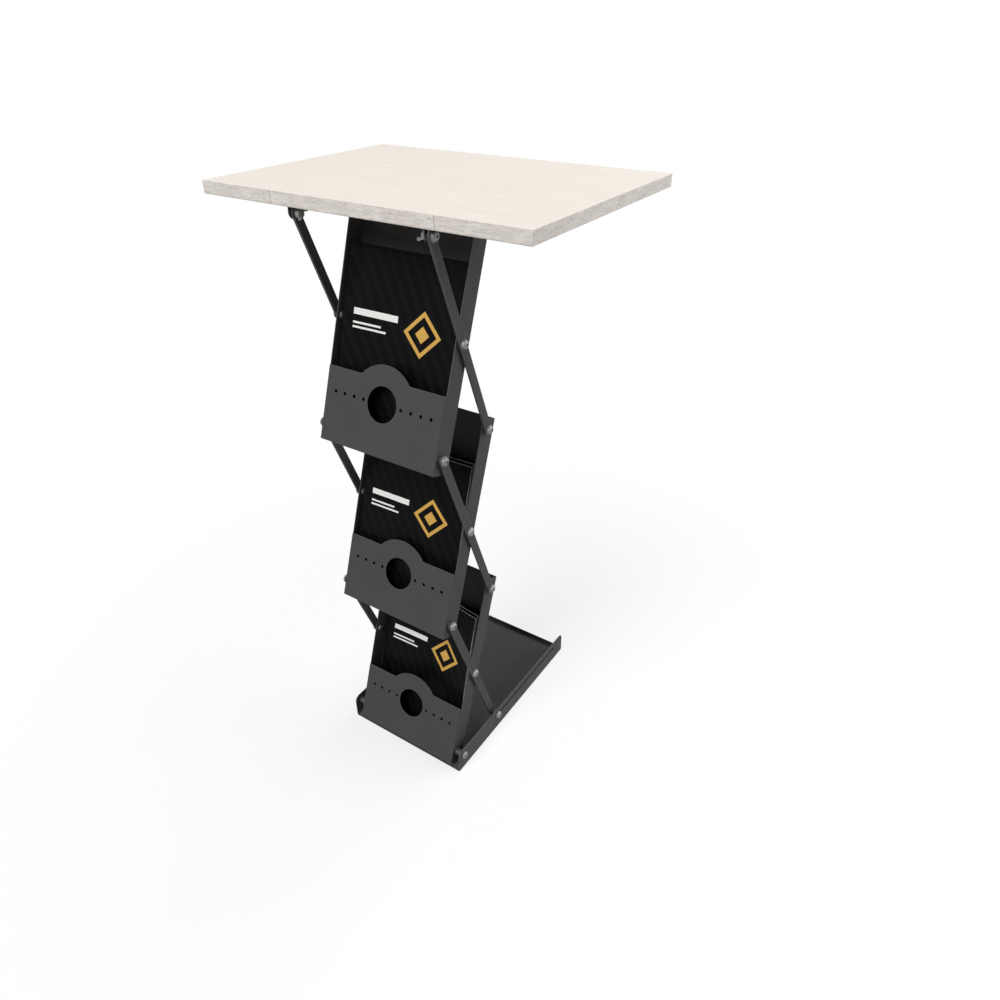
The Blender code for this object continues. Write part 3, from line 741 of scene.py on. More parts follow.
def fold_sides(mesh, half, front):
    """Round the two upright front edges as if the sheet were folded there."""
    with editing(mesh) as work:
        folds = [edge for edge in work.edges
                 if all(abs(abs(v.co.x) - half) < WELD and abs(v.co.y - front) < WELD for v in edge.verts)]
        bmesh.ops.bevel(work, geom=folds, offset=FOLD_RADIUS, segments=FOLD_STEPS, affect="EDGES",
                        profile=ROUND)


print("the arch rises", mm(ARCH_RISE), "mm on fillets of", mm(ARCH_FILLET), "mm")

# %% [markdown]
# ## Holes in the lips
#
# A finger hole and two rows of small holes go through each lip. Nine Booleans could cut them from a block,
# but a filled curve takes all the holes in one go. Each small hole is turned a little, because corners in
# one straight line would leave the fill a face without any width.

# %% Cut the lips
FINGER_HOLE_RADIUS = 0.0285
FINGER_HOLE_DROP = 0.039
FINGER_HOLE_SIDES = 96
ROW_HOLES = 4
ROW_HOLE_RADIUS = 0.003
ROW_HOLE_SIDES = 24
ROW_HOLE_GAP = 0.0087
ROW_HOLE_MARGIN = 0.0203
HOLE_PHASE = 0.03
FRONT_VIEW = Matrix.Rotation(math.pi / 2, 4, "X")

for level in LEVELS:
    low, high = local_box("pocket_lip_" + level, POCKET_FRAME[level])
    lip_top = high.z - ARCH_RISE
    hub = (0.0, lip_top - FINGER_HOLE_DROP)
    first = FINGER_HOLE_RADIUS + ROW_HOLE_GAP
    pitch = (high.x - ROW_HOLE_MARGIN - first) / (ROW_HOLES - 1)
    holes = [circle(hub, FINGER_HOLE_RADIUS, FINGER_HOLE_SIDES)]
    for way in SIDES.values():
        for step in range(ROW_HOLES):
            centre = (way * (first + step * pitch), hub[1])
            holes.append(circle(centre, ROW_HOLE_RADIUS, ROW_HOLE_SIDES, way * (step + 1) * HOLE_PHASE))
    lip = plate(lip_outline(high.x, low.z, lip_top, hub), holes, high.y - low.y)
    halve(lip, (*hub, 0.0), (0, 1, 0))
    lip.transform(Matrix.Translation((0, (low.y + high.y) / 2, 0)) @ FRONT_VIEW)
    fold_sides(lip, high.x, low.y)
    round_edges(place_piece("front_lip_" + level, lip, POWDER_COAT, POCKET_FRAME[level],
                            "pocket_" + level, "pocket_lip_" + level), SHEET_EDGE)
print("cut", len(LEVELS), "lips with", len(holes), "holes each")

# %% [markdown]
# ## Flat bars
#
# A bar is a strip of flat steel with round ends and three bolt holes, one on each side of every pocket. A
# scaled cylinder and a box could be joined for it. The outline of a slot, drawn as two half circles, gives
# the same shape as one clean plate.

# %% Cut the bars
BAR_EDGE = 0.0005
BAR_STEPS = 32
BOLT_RADIUS = 0.004
HOLE_PLAY = 0.0004
BAR_HOLE = BOLT_RADIUS + HOLE_PLAY
SIDE_VIEW = Matrix(((0, 0, 1), (1, 0, 0), (0, 1, 0))).to_4x4()

for level in LEVELS:
    for side in SIDES:
        node = "bar_%s_%s" % (level, side)
        low, high = local_box(node, BARS_FRAME[level])
        outline = arc((0, HALF_SPAN), high.y, 0, math.pi, BAR_STEPS)
        outline += arc((0, -HALF_SPAN), high.y, math.pi, 2 * math.pi, BAR_STEPS)
        holes = [circle((0, z), BAR_HOLE, BAR_STEPS) for z in (-HALF_SPAN, 0, HALF_SPAN)]
        bar = plate(outline, holes, high.x - low.x)
        bar.transform(Matrix.Translation(((low.x + high.x) / 2, 0, 0)) @ SIDE_VIEW)
        round_edges(place_piece("flat_" + node, bar, POWDER_COAT, BARS_FRAME[level],
                                "bars_" + level, node), BAR_EDGE)
print("cut", len(LEVELS) * len(SIDES), "bars", mm(high.z - low.z), "mm long")

# %% [markdown]
# ## Pivot bolts
#
# Every pivot is a button head bolt with a washer, a sleeve darkened as painted shade that keeps the pocket
# and the bar apart, and a thin hex nut inside. It could be one cylinder, but the head is what the eye finds
# along the edge of the rack. The round parts are one profile of radii and heights, spun about its axis, as
# on a lathe.

# %% Draw the bolt head and spin profiles
TURNED_SIDES = 48
DOME_STEPS = 8
HEAD_HEIGHT = 0.0055
WASHER = (0.0080, 0.0010)
BUTTON_RADIUS = 0.0074
BUTTON_FLAT = 0.0026
BUTTON_RIM = 0.0016
BREAK = 0.0003


def turned(profile, sides):
    """A profile of (radius, height), spun about Z."""
    mesh = bpy.data.meshes.new("turned")
    with editing(mesh) as work:
        points = [work.verts.new((radius, 0.0, height)) for radius, height in profile]
        lines = [work.edges.new(pair) for pair in zip(points, points[1:])]
        bmesh.ops.spin(work, geom=points + lines, axis=(0, 0, 1), cent=(0, 0, 0), angle=2 * math.pi,
                       steps=sides)
        bmesh.ops.remove_doubles(work, verts=work.verts, dist=WELD)
        bmesh.ops.recalc_face_normals(work, faces=work.faces)
    return mesh


def quarter(steps):
    """The angles from the crown of a dome down to its rim."""
    return [math.pi / 2 * step / steps for step in range(steps + 1)]


def button_head():
    """The outside of a washer and a button head, from the crown down to the seat."""
    radius, thick = WASHER
    width = BUTTON_RADIUS - BUTTON_FLAT
    rise = HEAD_HEIGHT - BUTTON_RIM
    dome = [(BUTTON_FLAT + width * math.sin(turn), BUTTON_RIM + rise * math.cos(turn))
            for turn in quarter(DOME_STEPS)]
    washer = [(BUTTON_RADIUS, thick), (radius - BREAK, thick), (radius, thick - BREAK), (radius, BREAK),
              (radius - BREAK, 0)]
    return [(0, HEAD_HEIGHT)] + dome + washer


print("a bolt's washer is", mm(2 * WASHER[0]), "mm wide, and its head is", mm(HEAD_HEIGHT), "mm high")

# %% [markdown]
# ## Sockets and nuts
#
# A hex socket sinks into each head, and a hex nut sits on the end of each shank. A hexagon can't be spun,
# so the socket is cut by a Boolean and the nut is a shell of its own beside the bolt. Cutting after the
# turning keeps both steps simple.

# %% Cut the socket and add the nut
HEX = 6
SOCKET = (0.0020, 0.0022)
SLEEVE_RADIUS = 0.0068
NUT_RADIUS = 0.0065
NUT_THICK = 0.0025
TIP_LENGTH = 0.0030
BREAK_STEPS = 2


def combined(mesh, tools, operation):
    """Cut the tools out of a mesh, or unite them with it."""
    for tool in tools:
        body = new_object("body", mesh)
        helper = new_object("tool", tool)
        change = body.modifiers.new("change", "BOOLEAN")
        change.operation = operation
        change.object = helper
        mesh = evaluated(body)
        bpy.data.objects.remove(helper, do_unlink=True)
    return tidy(mesh)


def smooth(mesh):
    mesh.shade_smooth()
    mesh.set_sharp_from_angle(angle=SHARP)
    return mesh


def prism(sides, radius, low, high, bevel=0.0):
    mesh = bpy.data.meshes.new("prism")
    with editing(mesh) as work:
        bmesh.ops.create_cone(work, cap_ends=True, segments=sides, radius1=radius, radius2=radius,
                              depth=high - low)
        work.transform(Matrix.Translation((0, 0, (low + high) / 2)))
        if bevel:
            bmesh.ops.bevel(work, geom=work.edges[:], offset=bevel, segments=BREAK_STEPS, affect="EDGES",
                            profile=ROUND)
    return mesh


def socket_bolt(sleeve, nut_face):
    """A bolt whose seat is at 0 and whose shank runs down; sleeve is (start, end) or None."""
    end = nut_face - TIP_LENGTH
    shank = [(BOLT_RADIUS, 0)]
    if sleeve:
        start, stop = sleeve
        shank += [(BOLT_RADIUS, start), (SLEEVE_RADIUS - BREAK, start), (SLEEVE_RADIUS, start - BREAK),
                  (SLEEVE_RADIUS, stop + BREAK), (SLEEVE_RADIUS - BREAK, stop), (BOLT_RADIUS, stop)]
    shank += [(BOLT_RADIUS, end + 2 * BREAK), (BOLT_RADIUS - 2 * BREAK, end), (0, end)]
    body = turned(button_head() + shank, TURNED_SIDES)
    radius, depth = SOCKET
    return combined(body, [prism(HEX, radius, HEAD_HEIGHT - depth, HEAD_HEIGHT + depth)], "DIFFERENCE")


def with_nut(body, sleeve, nut_face):
    """Add the nut as a second shell, and give the faces of the sleeve the zinc darkened as painted shade.
    """
    mesh = bpy.data.meshes.new("bolt_and_nut")
    with editing(mesh) as work:
        work.from_mesh(body)
        work.from_mesh(prism(HEX, NUT_RADIUS, nut_face - NUT_THICK, nut_face, bevel=BREAK))
    smooth(mesh)
    mesh.materials.append(BRIGHT_ZINC)
    mesh.materials.append(PAINTED_SHADE_ZINC)
    # The sleeve faces take the zinc darkened as painted shade between the sheets.
    for face in mesh.polygons:
        if sleeve[0] >= face.center.z >= sleeve[1]:
            face.material_index = 1
    return mesh


print("a socket is", mm(SOCKET[1]), "mm deep, and a nut is", mm(NUT_THICK), "mm thick")

# %% [markdown]
# ## Bolts of the pockets
#
# The bolts sit where flanges and bars cross and meet. Their lengths could be typed in, but each one only
# has to reach from the bar's outer face to the flange's inner face, so they are measured on the frame. All
# bolts of a kind share one mesh and are only turned by chance, as no fitter lines up sockets.

# %% Measure the sheets and set the bolts of the pockets
CLEAR = 0.0003
SHEET = 0.0015
CHANCE_SEED = 7
POCKET_BOLTS = {"bottom": ("cross", "upper"),
                "middle": ("lower", "cross", "upper"),
                "top": ("lower", "cross")}
BOLT_HEIGHT = {"lower": 0.0, "cross": HALF_SPAN, "upper": 2 * HALF_SPAN}
chance = random.Random(CHANCE_SEED)


def bolt_between(seat, sleeve_out, sleeve_in, nut_at):
    """A bolt mesh from the planes that it joins, all measured from the middle of the rack."""
    nut_face = nut_at - CLEAR - seat
    sleeve = (sleeve_out - CLEAR - seat, sleeve_in + CLEAR - seat)
    return with_nut(socket_bolt(sleeve, nut_face), sleeve, nut_face)


def lay_bolt(name, mesh, place, seat, side, height, body, node):
    """Lay a bolt along X with its head outwards, turned by chance about its own axis."""
    spin = Matrix.Rotation(chance.uniform(0, 2 * math.pi), 4, "Z")
    turn = Matrix.Rotation(SIDES[side] * math.pi / 2, 4, "Y")
    at = Matrix.Translation((SIDES[side] * seat, 0, height))
    place_piece(name, mesh, BRIGHT_ZINC, place @ at @ turn @ spin, body, node)


flange_out = local_box("pocket_tray_middle", POCKET_FRAME["middle"])[1].x
flange_in = flange_out - SHEET
bar_low, bar_high = local_box("bar_middle_right", BARS_FRAME["middle"])
pocket_seat = bar_high.x + CLEAR
pocket_bolt = bolt_between(pocket_seat, bar_low.x, flange_out, flange_in)
for level, spots in POCKET_BOLTS.items():
    for spot in spots:
        for side in SIDES:
            where = "%s_%s_%s" % (spot, level, side)
            lay_bolt("bolt_" + where, pocket_bolt, POCKET_FRAME[level], pocket_seat, side,
                     BOLT_HEIGHT[spot], "pocket_" + level, "rivet_" + where)
print("set", len(SIDES) * sum(map(len, POCKET_BOLTS.values())), "pocket bolts")

# %% [markdown]
# ## Bolts of the base and of the runners
#
# The bottom pocket turns on two bolts in the base, the feet of the bottom bars slide along slots in the
# base flanges, and the top pocket's upper bolts run in the rails under the table. Each could be drawn by
# itself, but they are the same kind of bolt between other sheets, so only the planes change.

# %% Set the bolts of the base and of the runners
RAIL_WALL = 0.002

base_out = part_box("base_tray")[1].x
base_in = base_out - SHEET
base_seat = base_out + CLEAR
rail_in = local_box("table_rail_right", TABLE_FRAME)[0].x
rail_seat = rail_in + RAIL_WALL + CLEAR
base_bolt = bolt_between(base_seat, base_in, flange_out, flange_in)
slide_bolt = bolt_between(base_seat, base_in, bar_high.x, bar_low.x)
runner_bolt = bolt_between(rail_seat, rail_in, flange_out, flange_in)
for side in SIDES:
    lay_bolt("base_bolt_" + side, base_bolt, POCKET_FRAME["bottom"], base_seat, side, 0.0,
             "base", "base_pin_" + side)
    lay_bolt("slide_bolt_" + side, slide_bolt, BARS_FRAME["bottom"], base_seat, side, -HALF_SPAN,
             "bars_bottom", "slide_pin_" + side)
    lay_bolt("runner_bolt_" + side, runner_bolt, POCKET_FRAME["top"], rail_seat, side, 2 * HALF_SPAN,
             "pocket_top", "runner_pin_" + side)
print("set", 3 * len(SIDES), "base, slide and runner bolts")

# %% [markdown]
# ## Wood screws
#
# Wood screws hold the fittings up under the table, and the plain solids lack them. A head could be a flat
# disc, but a pan head with a cross cut into it catches the light even when it is small. It is spun like the
# bolts, and two blocks cut the cross.

# %% Make a wood screw
SCREW_RADIUS = 0.0030
SCREW_HEIGHT = 0.0016
SCREW_RIM = 0.25
SCREW_STEPS = 6
SCREW_SIDES = 32
CROSS = (0.0038, 0.0009, 0.0010)


def block(low, high):
    low, high = Vector(low), Vector(high)
    mesh = bpy.data.meshes.new("block")
    with editing(mesh) as work:
        bmesh.ops.create_cube(work, size=1.0)
        work.transform(Matrix.Translation((low + high) / 2) @ Matrix.Diagonal((*(high - low), 1.0)))
    return mesh


def pan_screw():
    dome = [(SCREW_RADIUS * math.sin(turn), SCREW_HEIGHT * (SCREW_RIM + (1 - SCREW_RIM) * math.cos(turn)))
            for turn in quarter(SCREW_STEPS)]
    head = turned(dome + [(SCREW_RADIUS, 0), (0, 0)], SCREW_SIDES)
    reach, half, depth = CROSS[0] / 2, CROSS[1] / 2, CROSS[2]
    slots = [block((-x, -y, SCREW_HEIGHT - depth), (x, y, SCREW_HEIGHT + depth))
             for x, y in ((reach, half), (half, reach))]
    return smooth(combined(head, slots, "DIFFERENCE"))


screw_mesh = pan_screw()
print("a screw head is", mm(2 * SCREW_RADIUS), "mm wide and has", len(screw_mesh.polygons), "faces")

# %% [markdown]
# ## Clevises and rails
#
# Under the front of the table two clevises take the bar ends, and under its rear two slotted rails guide
# the top pocket. They are folded sheet like the trays, so copies of the solids are dressed in the same way.
# The screws could be placed by eye; here they are spread evenly along the feet that they hold.

# %% Dress the clevises and rails and drive the screws
FOOT_WIDTH = 0.015
FOOT_THICK = 0.002
RAIL_SCREWS = 4


def drive_screw(name, x, y, z):
    """A screw head that looks down from the underside of a foot."""
    spin = Matrix.Rotation(chance.uniform(0, math.pi), 4, "Z")
    flip = Matrix.Rotation(math.pi, 4, "X")
    place = TABLE_FRAME @ Matrix.Translation((x, y, z)) @ flip @ spin
    place_piece(name, screw_mesh, BRIGHT_ZINC, place, "table")


def foot_middle(low, high, way):
    """Where the middle of a foot lies across the table; feet point outwards."""
    return (high.x if way > 0 else low.x) - way * FOOT_WIDTH / 2


for side, way in SIDES.items():
    # The clevis takes the zinc darkened as painted shade, for its place under the table.
    dressed("clevis_" + side, "table_bracket_" + side, PAINTED_SHADE_ZINC, TABLE_FRAME, "table", SHEET_EDGE)
    dressed("rail_angle_" + side, "table_rail_" + side, POWDER_COAT, TABLE_FRAME, "table", SHEET_EDGE)
    low, high = local_box("table_bracket_" + side, TABLE_FRAME)
    underside = high.z - FOOT_THICK - CLEAR / 2
    for row, y in (("front", low.y / 2), ("rear", high.y / 2)):
        drive_screw("clevis_screw_%s_%s" % (side, row), foot_middle(low, high, way), y, underside)
    low, high = local_box("table_rail_" + side, TABLE_FRAME)
    for index in range(RAIL_SCREWS):
        y = low.y + (high.y - low.y) * (index + 0.5) / RAIL_SCREWS
        drive_screw("rail_screw_%s_%d" % (side, index + 1), foot_middle(low, high, way), y, underside)
print("drove", len(SIDES) * (2 + RAIL_SCREWS), "wood screws")

# %% [markdown]
# ## Wing nuts
#
# A wing nut clamps each clevis from inside. It could be sculpted, but a real one is cast: a tapered hub
# that can be spun, and two wings that can be cut as plates. A union makes one casting of them.

# %% Cast a wing nut
WING_THICK = 0.0022
WING_TIP = 0.0035
WING_TIP_STEPS = 20
WING_TILT = math.radians(27)
WING_REACH = 0.0110
WING_FLARE = 0.006
HUB_WIDE = 0.0070
HUB_NARROW = 0.0058
HUB_LENGTH = 0.007


def wing_nut():
    """A wing nut with its face at Z = 0 and its wings flaring up and out."""
    hub = turned([(BAR_HOLE, HUB_LENGTH), (HUB_NARROW, HUB_LENGTH), (HUB_WIDE, 0), (BAR_HOLE, 0),
                  (BAR_HOLE, HUB_LENGTH)], TURNED_SIDES)
    tip = (WING_REACH - WING_TIP, HUB_LENGTH + WING_FLARE - WING_TIP)
    root = (BAR_HOLE + HUB_NARROW) / 2
    lobe = arc(tip, WING_TIP, WING_TILT - math.pi / 2, math.pi / 2 + WING_TILT, WING_TIP_STEPS)
    wings = []
    for turn in (0, math.pi):
        wing = plate([(root, CLEAR)] + lobe + [(root, HUB_LENGTH - CLEAR)], [], WING_THICK)
        wing.transform(Matrix.Rotation(turn, 4, "Z") @ FRONT_VIEW)
        wings.append(wing)
    return halve(combined(hub, wings, "UNION"), (0, 0, 0), (1, 0, 0))


nut_mesh = wing_nut()
print("a wing nut reaches", mm(WING_REACH), "mm from its axis and has", len(nut_mesh.polygons), "faces")

# %% [markdown]
# ## Clevis bolts
#
# A bolt runs through both ears of each clevis and the end of its bar, and carries the wing nut. It could be
# a plain pin, but it is a socket bolt without sleeve or hex nut, so the same recipe makes it. The wing nut
# gets a wide bevel, which gives the soft edges of cast metal.

# %% Set the clevis bolts and the wing nuts
WING_TURN = math.radians(35)
CAST_EDGE = 0.00045

for side, way in SIDES.items():
    low, high = local_box("bracket_bolt_" + side, TABLE_FRAME)
    seat = max(abs(low.x), abs(high.x)) - HEAD_HEIGHT
    inner = min(abs(low.x), abs(high.x))
    clevis_bolt = smooth(socket_bolt(None, inner - seat + TIP_LENGTH))
    lay_bolt("clevis_bolt_" + side, clevis_bolt, TABLE_FRAME, seat, side, 0.0,
             "table", "bracket_bolt_" + side)
    low, high = local_box("wing_nut_" + side, TABLE_FRAME)
    face = max(abs(low.x), abs(high.x))
    place = (TABLE_FRAME @ Matrix.Translation((way * face, 0, 0))
             @ Matrix.Rotation(WING_TURN, 4, "X")
             @ Matrix.Rotation(-way * math.pi / 2, 4, "Y")
             @ Matrix.Rotation(math.pi / 2, 4, "Z"))
    round_edges(place_piece("cast_wing_nut_" + side, nut_mesh, BRIGHT_ZINC, place,
                            "wing_" + side, "wing_nut_" + side), CAST_EDGE)
print("set", len(SIDES), "clevis bolts and wing nuts")

# %% [markdown]
# ## Hinge bores
#
# The table top is three boards that meet at two seams, held by concealed hinges. Each hinge has a barrel in
# either board, in a blind bore, and a link between the two that needs a slot above the bore when the leaf
# folds. They could be drawn into the outline of the board, but a Boolean with a round bar and a block is
# what a drill and a cutter do.

# %% Drill the bores and cut the slots
BORE_SIDES = 40
SLOT_HALF = 0.0026
SKIN = 0.0016


def hinge_cuts(barrel, place, top):
    """The bore for a hinge barrel, and the slot above it that takes the link."""
    low, high = local_box(barrel, place)
    middle = (low + high) / 2
    reach = (high.x - low.x) / 2 + 2 * CLEAR
    bore = prism(BORE_SIDES, (high.z - low.z) / 2 + CLEAR, -reach, reach)
    bore.transform(Matrix.Translation(middle) @ Matrix.Rotation(math.pi / 2, 4, "Y"))
    across = Vector((reach + CLEAR, SLOT_HALF, 0.0))
    upper = middle + across
    upper.z = top - SKIN
    return [bore, block(middle - across, upper)]


print("slots are", mm(2 * SLOT_HALF), "mm wide and end", mm(SKIN), "mm under the top")

# %% [markdown]
# ## Faces and edges of a board
#
# The boards are faced on top and below and banded along the edges. One finish all round would show the same
# grain on every face. Here each face takes the finish that its direction asks for, and the walls of the
# bores and slots show the pressed chips. The lower edges are soft, the upright corners less so, and the top
# edges stay crisp, so every edge carries its own weight for the bevel.

# %% Face a board and weigh its edges
UPRIGHT_SHARE = 0.4
UPRIGHT_LEAST = 0.25
CRISP_SHARE = 0.14
INSIDE = 0.0005
FACING = 0.9
PANEL_FINISHES = (TABLE_TOP, LONG_EDGE, SHORT_EDGE, CHIPBOARD)
FLAT_FACE, LONG_FACE, SHORT_FACE, INNER_FACE = range(len(PANEL_FINISHES))


def buried(point, low, high):
    """How far a point lies under the nearest face of a board."""
    return min(min(point[i] - low[i], high[i] - point[i]) for i in range(3))


def face_panel(mesh, low, high):
    for finish in PANEL_FINISHES:
        mesh.materials.append(finish)
    for face in mesh.polygons:
        if buried(face.center, low, high) > INSIDE:
            face.material_index = INNER_FACE
        elif abs(face.normal.z) > FACING:
            face.material_index = FLAT_FACE
        else:
            face.material_index = LONG_FACE if abs(face.normal.y) > FACING else SHORT_FACE


def mark_edges(mesh, low, high):
    """Weights for the bevel: lower edges are soft, upright ones less so, all other corners stay crisp."""
    with editing(mesh) as work:
        weights = work.edges.layers.float.new("bevel_weight_edge")
        for edge in work.edges:
            ends = [vert.co for vert in edge.verts]
            hidden = all(buried(end, low, high) > INSIDE for end in ends)
            if hidden or edge.calc_face_angle(0.0) < SHARP:
                continue
            upright = abs(ends[0].z - ends[1].z) > UPRIGHT_LEAST * (high.z - low.z)
            lower = all(end.z - low.z < INSIDE for end in ends)
            edge[weights] = 1.0 if lower else UPRIGHT_SHARE if upright else CRISP_SHARE


print("boards take", len(PANEL_FINISHES), "finishes")

# %% [markdown]
# ## Table panels
#
# The middle board rides with the table, and each leaf rides with its own hinge. One board with seams
# painted on would look the same until a leaf is lifted. Each board is a block with its bores and slots cut
# out, and it is split level with the bores so that the bevel stays clean.

# %% Saw the panels
LOWER_EDGE = 0.0018
ROWS = ("front", "rear")


def saw_panel(name, node, place, body, barrels):
    low, high = local_box(node, place)
    cuts = [cut for barrel in barrels for cut in hinge_cuts(barrel, place, high.z)]
    mesh = combined(block(low, high), cuts, "DIFFERENCE")
    barrel_low, barrel_high = local_box(barrels[0], place)
    halve(mesh, (barrel_low + barrel_high) / 2, (0, 0, 1))
    mesh.materials.clear()
    face_panel(mesh, low, high)
    mark_edges(mesh, low, high)
    round_edges(place_piece(name, mesh, TABLE_TOP, place, body, node), LOWER_EDGE, "WEIGHT")
    return high - low


middle_barrels = ["hinge_barrel_middle_%s_%s" % (side, row) for side in SIDES for row in ROWS]
size = saw_panel("board_middle", "table_panel_middle", TABLE_FRAME, "table", middle_barrels)
for side in SIDES:
    leaf_barrels = ["hinge_barrel_leaf_%s_%s" % (side, row) for row in ROWS]
    saw_panel("board_leaf_" + side, "table_leaf_" + side, LEAF_FRAME[side], "leaf_" + side, leaf_barrels)
print("sawed 3 panels; the middle one is", *map(mm, size), "mm")

# %% [markdown]
# ## Concealed hinges
#
# Two barrels and a link at each place let a leaf fold up and over. They show only when a leaf is lifted.
# The barrels in the frame already have the right shape, so they are dressed like the trays. A straight link
# would hang free of its barrels once the leaf lies folded. A link that is bent about the hinge line slides
# out of both slots as the leaf turns, and still points into them at the end.

# %% Dress the hinges
BARREL_EDGE = 0.0002
LINK_HALF = 0.0016
LINK_REACH = math.radians(66)
LINK_STEPS = 40
LINK_END_STEPS = 10


def bent_link(radius, thickness):
    """A crescent about the hinge line, in XY, with round ends."""
    outline = []
    for way in (1, -1):
        start, end = (turn * LINK_REACH - math.pi / 2 for turn in (-way, way))
        outline += arc((0.0, 0.0), radius + way * LINK_HALF, start, end, LINK_STEPS)
        tip = (radius * math.cos(end), radius * math.sin(end))
        cap = end if way > 0 else end + math.pi
        outline += arc(tip, LINK_HALF, cap, cap + math.pi, LINK_END_STEPS)[1:-1]
    return plate(outline, [], thickness)


for side in SIDES:
    for row in ROWS:
        spot = "%s_%s" % (side, row)
        dressed("barrel_middle_" + spot, "hinge_barrel_middle_" + spot, BRIGHT_ZINC, TABLE_FRAME, "table",
                BARREL_EDGE)
        dressed("barrel_leaf_" + spot, "hinge_barrel_leaf_" + spot, BRIGHT_ZINC, LEAF_FRAME[side],
                "leaf_" + side, BARREL_EDGE)
        low, high = local_box("hinge_link_" + spot, LEAF_FRAME[side])
        link = bent_link(-(low.z + high.z) / 2, high.y - low.y)
        link.transform(Matrix.Translation((0, (low.y + high.y) / 2, 0)) @ FRONT_VIEW)
        round_edges(place_piece("link_" + spot, link, BRIGHT_ZINC, LEAF_FRAME[side],
                                "links_" + side, "hinge_link_" + spot), BARREL_EDGE)
print("dressed", len(SIDES) * len(ROWS), "hinges; their links are", mm(high.y - low.y), "mm thick")

# %% [markdown]
# ## Sprung leaflets
#
# Each pocket holds five A4 leaflets. The last one leans on the back plate, and the others spring away from
# it, the first one furthest. A single box would look like a tile. Each leaflet is a thin grid of its own
# with a slight bow, a lean, and a curl at its sides that differs from pocket to pocket. The flanges leave
# only so much room, so a hyperbolic tangent flattens every lean before it reaches their front edge.

# %% Bend a leaflet
ACROSS = 14
UP = 20
BOW = 0.0014
# Bare paper margins whose width is painted light: wider in the well lit bottom pocket, narrowing where
# shade falls.
LIT_MARGIN = {"bottom": 0.0016, "middle": 0.0006, "top": 0.0006}
LIT_MARGIN_AT_FOOT = 0.1
SPRING = {"bottom": (0.0035, 0.0020, 0.008, 0.0285),
          "middle": (0.0040, 0.0500, 0.020, -0.020),
          "top": (0.0046, 0.0205, 0.038, 0.0)}


def stations(low, high, count, margin):
    """Evenly spaced places between two narrow margins."""
    inner = [low + margin + (high - low - 2 * margin) * step / (count - 2) for step in range(count - 1)]
    return [low] + inner + [high]


def spring(level, across, up, room):
    """How far the first leaflet stands off, at a place across (-1 to 1) and up (0 to 1) its face."""
    foot, lean, left_curl, right_curl = SPRING[level]
    curl = (left_curl if across < 0 else right_curl) * across ** 2
    return room * math.tanh((foot + up * (lean + curl)) / room)


def sheet_rows(work, low, high, level, share, room, shift):
    """The rows of points of one face of a sheet, from its foot up."""
    rows = []
    for z in stations(low.z, high.z, UP, LIT_MARGIN[level]):
        up = (z - low.z) / (high.z - low.z)
        # The margin thins towards the foot of the side, as painted shade.
        lit_share = LIT_MARGIN_AT_FOOT + (1 - LIT_MARGIN_AT_FOOT) * up ** 2
        row = []
        for x in stations(low.x, high.x, ACROSS, lit_share * LIT_MARGIN[level]):
            stand = share * spring(level, x / high.x, up, room) + BOW * math.sin(math.pi * up)
            row.append(work.verts.new((x + shift, high.y - stand, z)))
        rows.append(row)
    return rows


print("a leaflet has", UP, "rows of", ACROSS, "faces")

# %% [markdown]
# ## Brochures in the pockets
#
# In the top pocket, which lies in the table's shade, the print runs over the edges and round the rims, as
# painted shade. In the other two pockets the first two leaflets keep a bare margin along the top that thins
# out down the side, wider in the bottom pocket: the paper edge is real, and its width is painted light,
# wide where light falls and narrow where shade falls. A margin could be part of the print, but as a row of
# narrow faces with the paper's finish it follows the sheet's own edge. The leaflets of a pocket are shifted
# a little by chance and make one piece.

# %% Stand the brochures in the pockets
PAPER = 0.00026
SIDE_SHIFT = 0.0007
SHARES = (1.0, 0.84, 0.52, 0.26, 0.0)
SHORTER = (0.005, 0.0, 0.003, 0.001, 0.0)
PRINT_FACE, PAPER_FACE = 0, 1
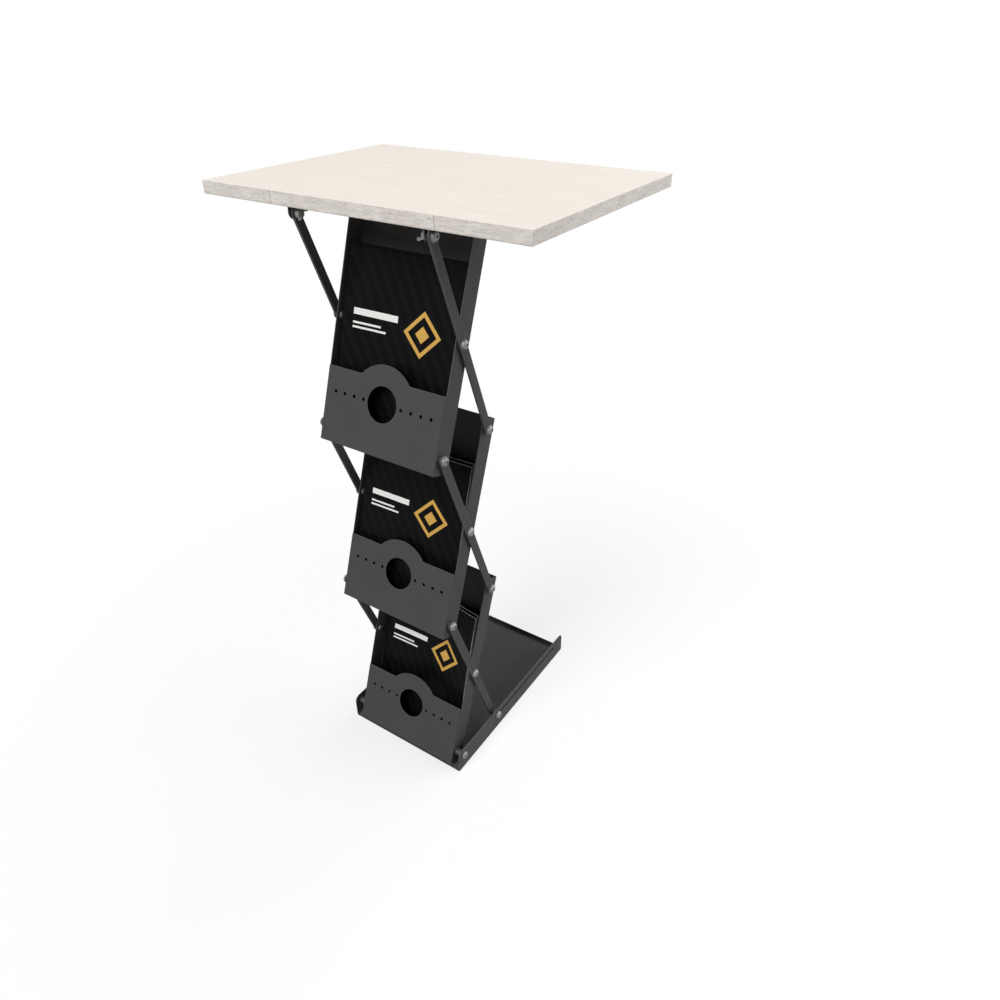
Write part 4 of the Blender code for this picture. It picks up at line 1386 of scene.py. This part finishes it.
# The top pocket, in the table's shade, gets no bare margin and print on its rims, as painted shade.
LIT_MARGIN_SHEETS = {"bottom": (0, 1), "middle": (0, 1), "top": ()}
RIM_PAPER_AND_PAINTED_SHADE = {"bottom": PAPER_FACE, "middle": PAPER_FACE, "top": PRINT_FACE}


def close_sheet(work, grids, has_lit_margin, rim):
    """Face a front and a back grid, and close the rim between them."""
    front, back = grids
    for up in range(UP):
        for i in range(ACROSS):
            face = [front[up][i], front[up][i + 1], front[up + 1][i + 1], front[up + 1][i]]
            rear = [back[up][i], back[up + 1][i], back[up + 1][i + 1], back[up][i + 1]]
            bare = has_lit_margin and (up == UP - 1 or i == ACROSS - 1)
            work.faces.new(face).material_index = PAPER_FACE if bare else PRINT_FACE
            work.faces.new(rear).material_index = PAPER_FACE
    rims = [[rows[0] for rows in grids],
            [rows[-1][::-1] for rows in grids],
            [[row[0] for row in rows][::-1] for rows in grids],
            [[row[-1] for row in rows] for rows in grids]]
    for near, far in rims:
        for i in range(len(near) - 1):
            work.faces.new([near[i + 1], near[i], far[i], far[i + 1]]).material_index = rim


for level in LEVELS:
    node = "display_card_" + level
    low, high = local_box(node, POCKET_FRAME[level])
    flange_front = local_box("pocket_tray_" + level, POCKET_FRAME[level])[0].y
    room = high.y - PAPER - flange_front - CLEAR
    stack = bpy.data.meshes.new("brochures_" + level)
    with editing(stack) as work:
        for index, share in enumerate(SHARES):
            shift = chance.uniform(-SIDE_SHIFT, SIDE_SHIFT)
            grids = []
            for thick in (PAPER, 0.0):
                corner = Vector((high.x, high.y - thick, high.z - SHORTER[index]))
                grids.append(sheet_rows(work, low, corner, level, share, room, shift))
            close_sheet(work, grids, index in LIT_MARGIN_SHEETS[level], RIM_PAPER_AND_PAINTED_SHADE[level])
    stack.materials.append(COVER_PRINT)
    stack.materials.append(CUT_PAPER)
    place_piece("brochures_" + level, smooth(stack), COVER_PRINT, POCKET_FRAME[level],
                "pocket_" + level, node)
    print("pocket", level, "leaves the leaflets", mm(room), "mm")
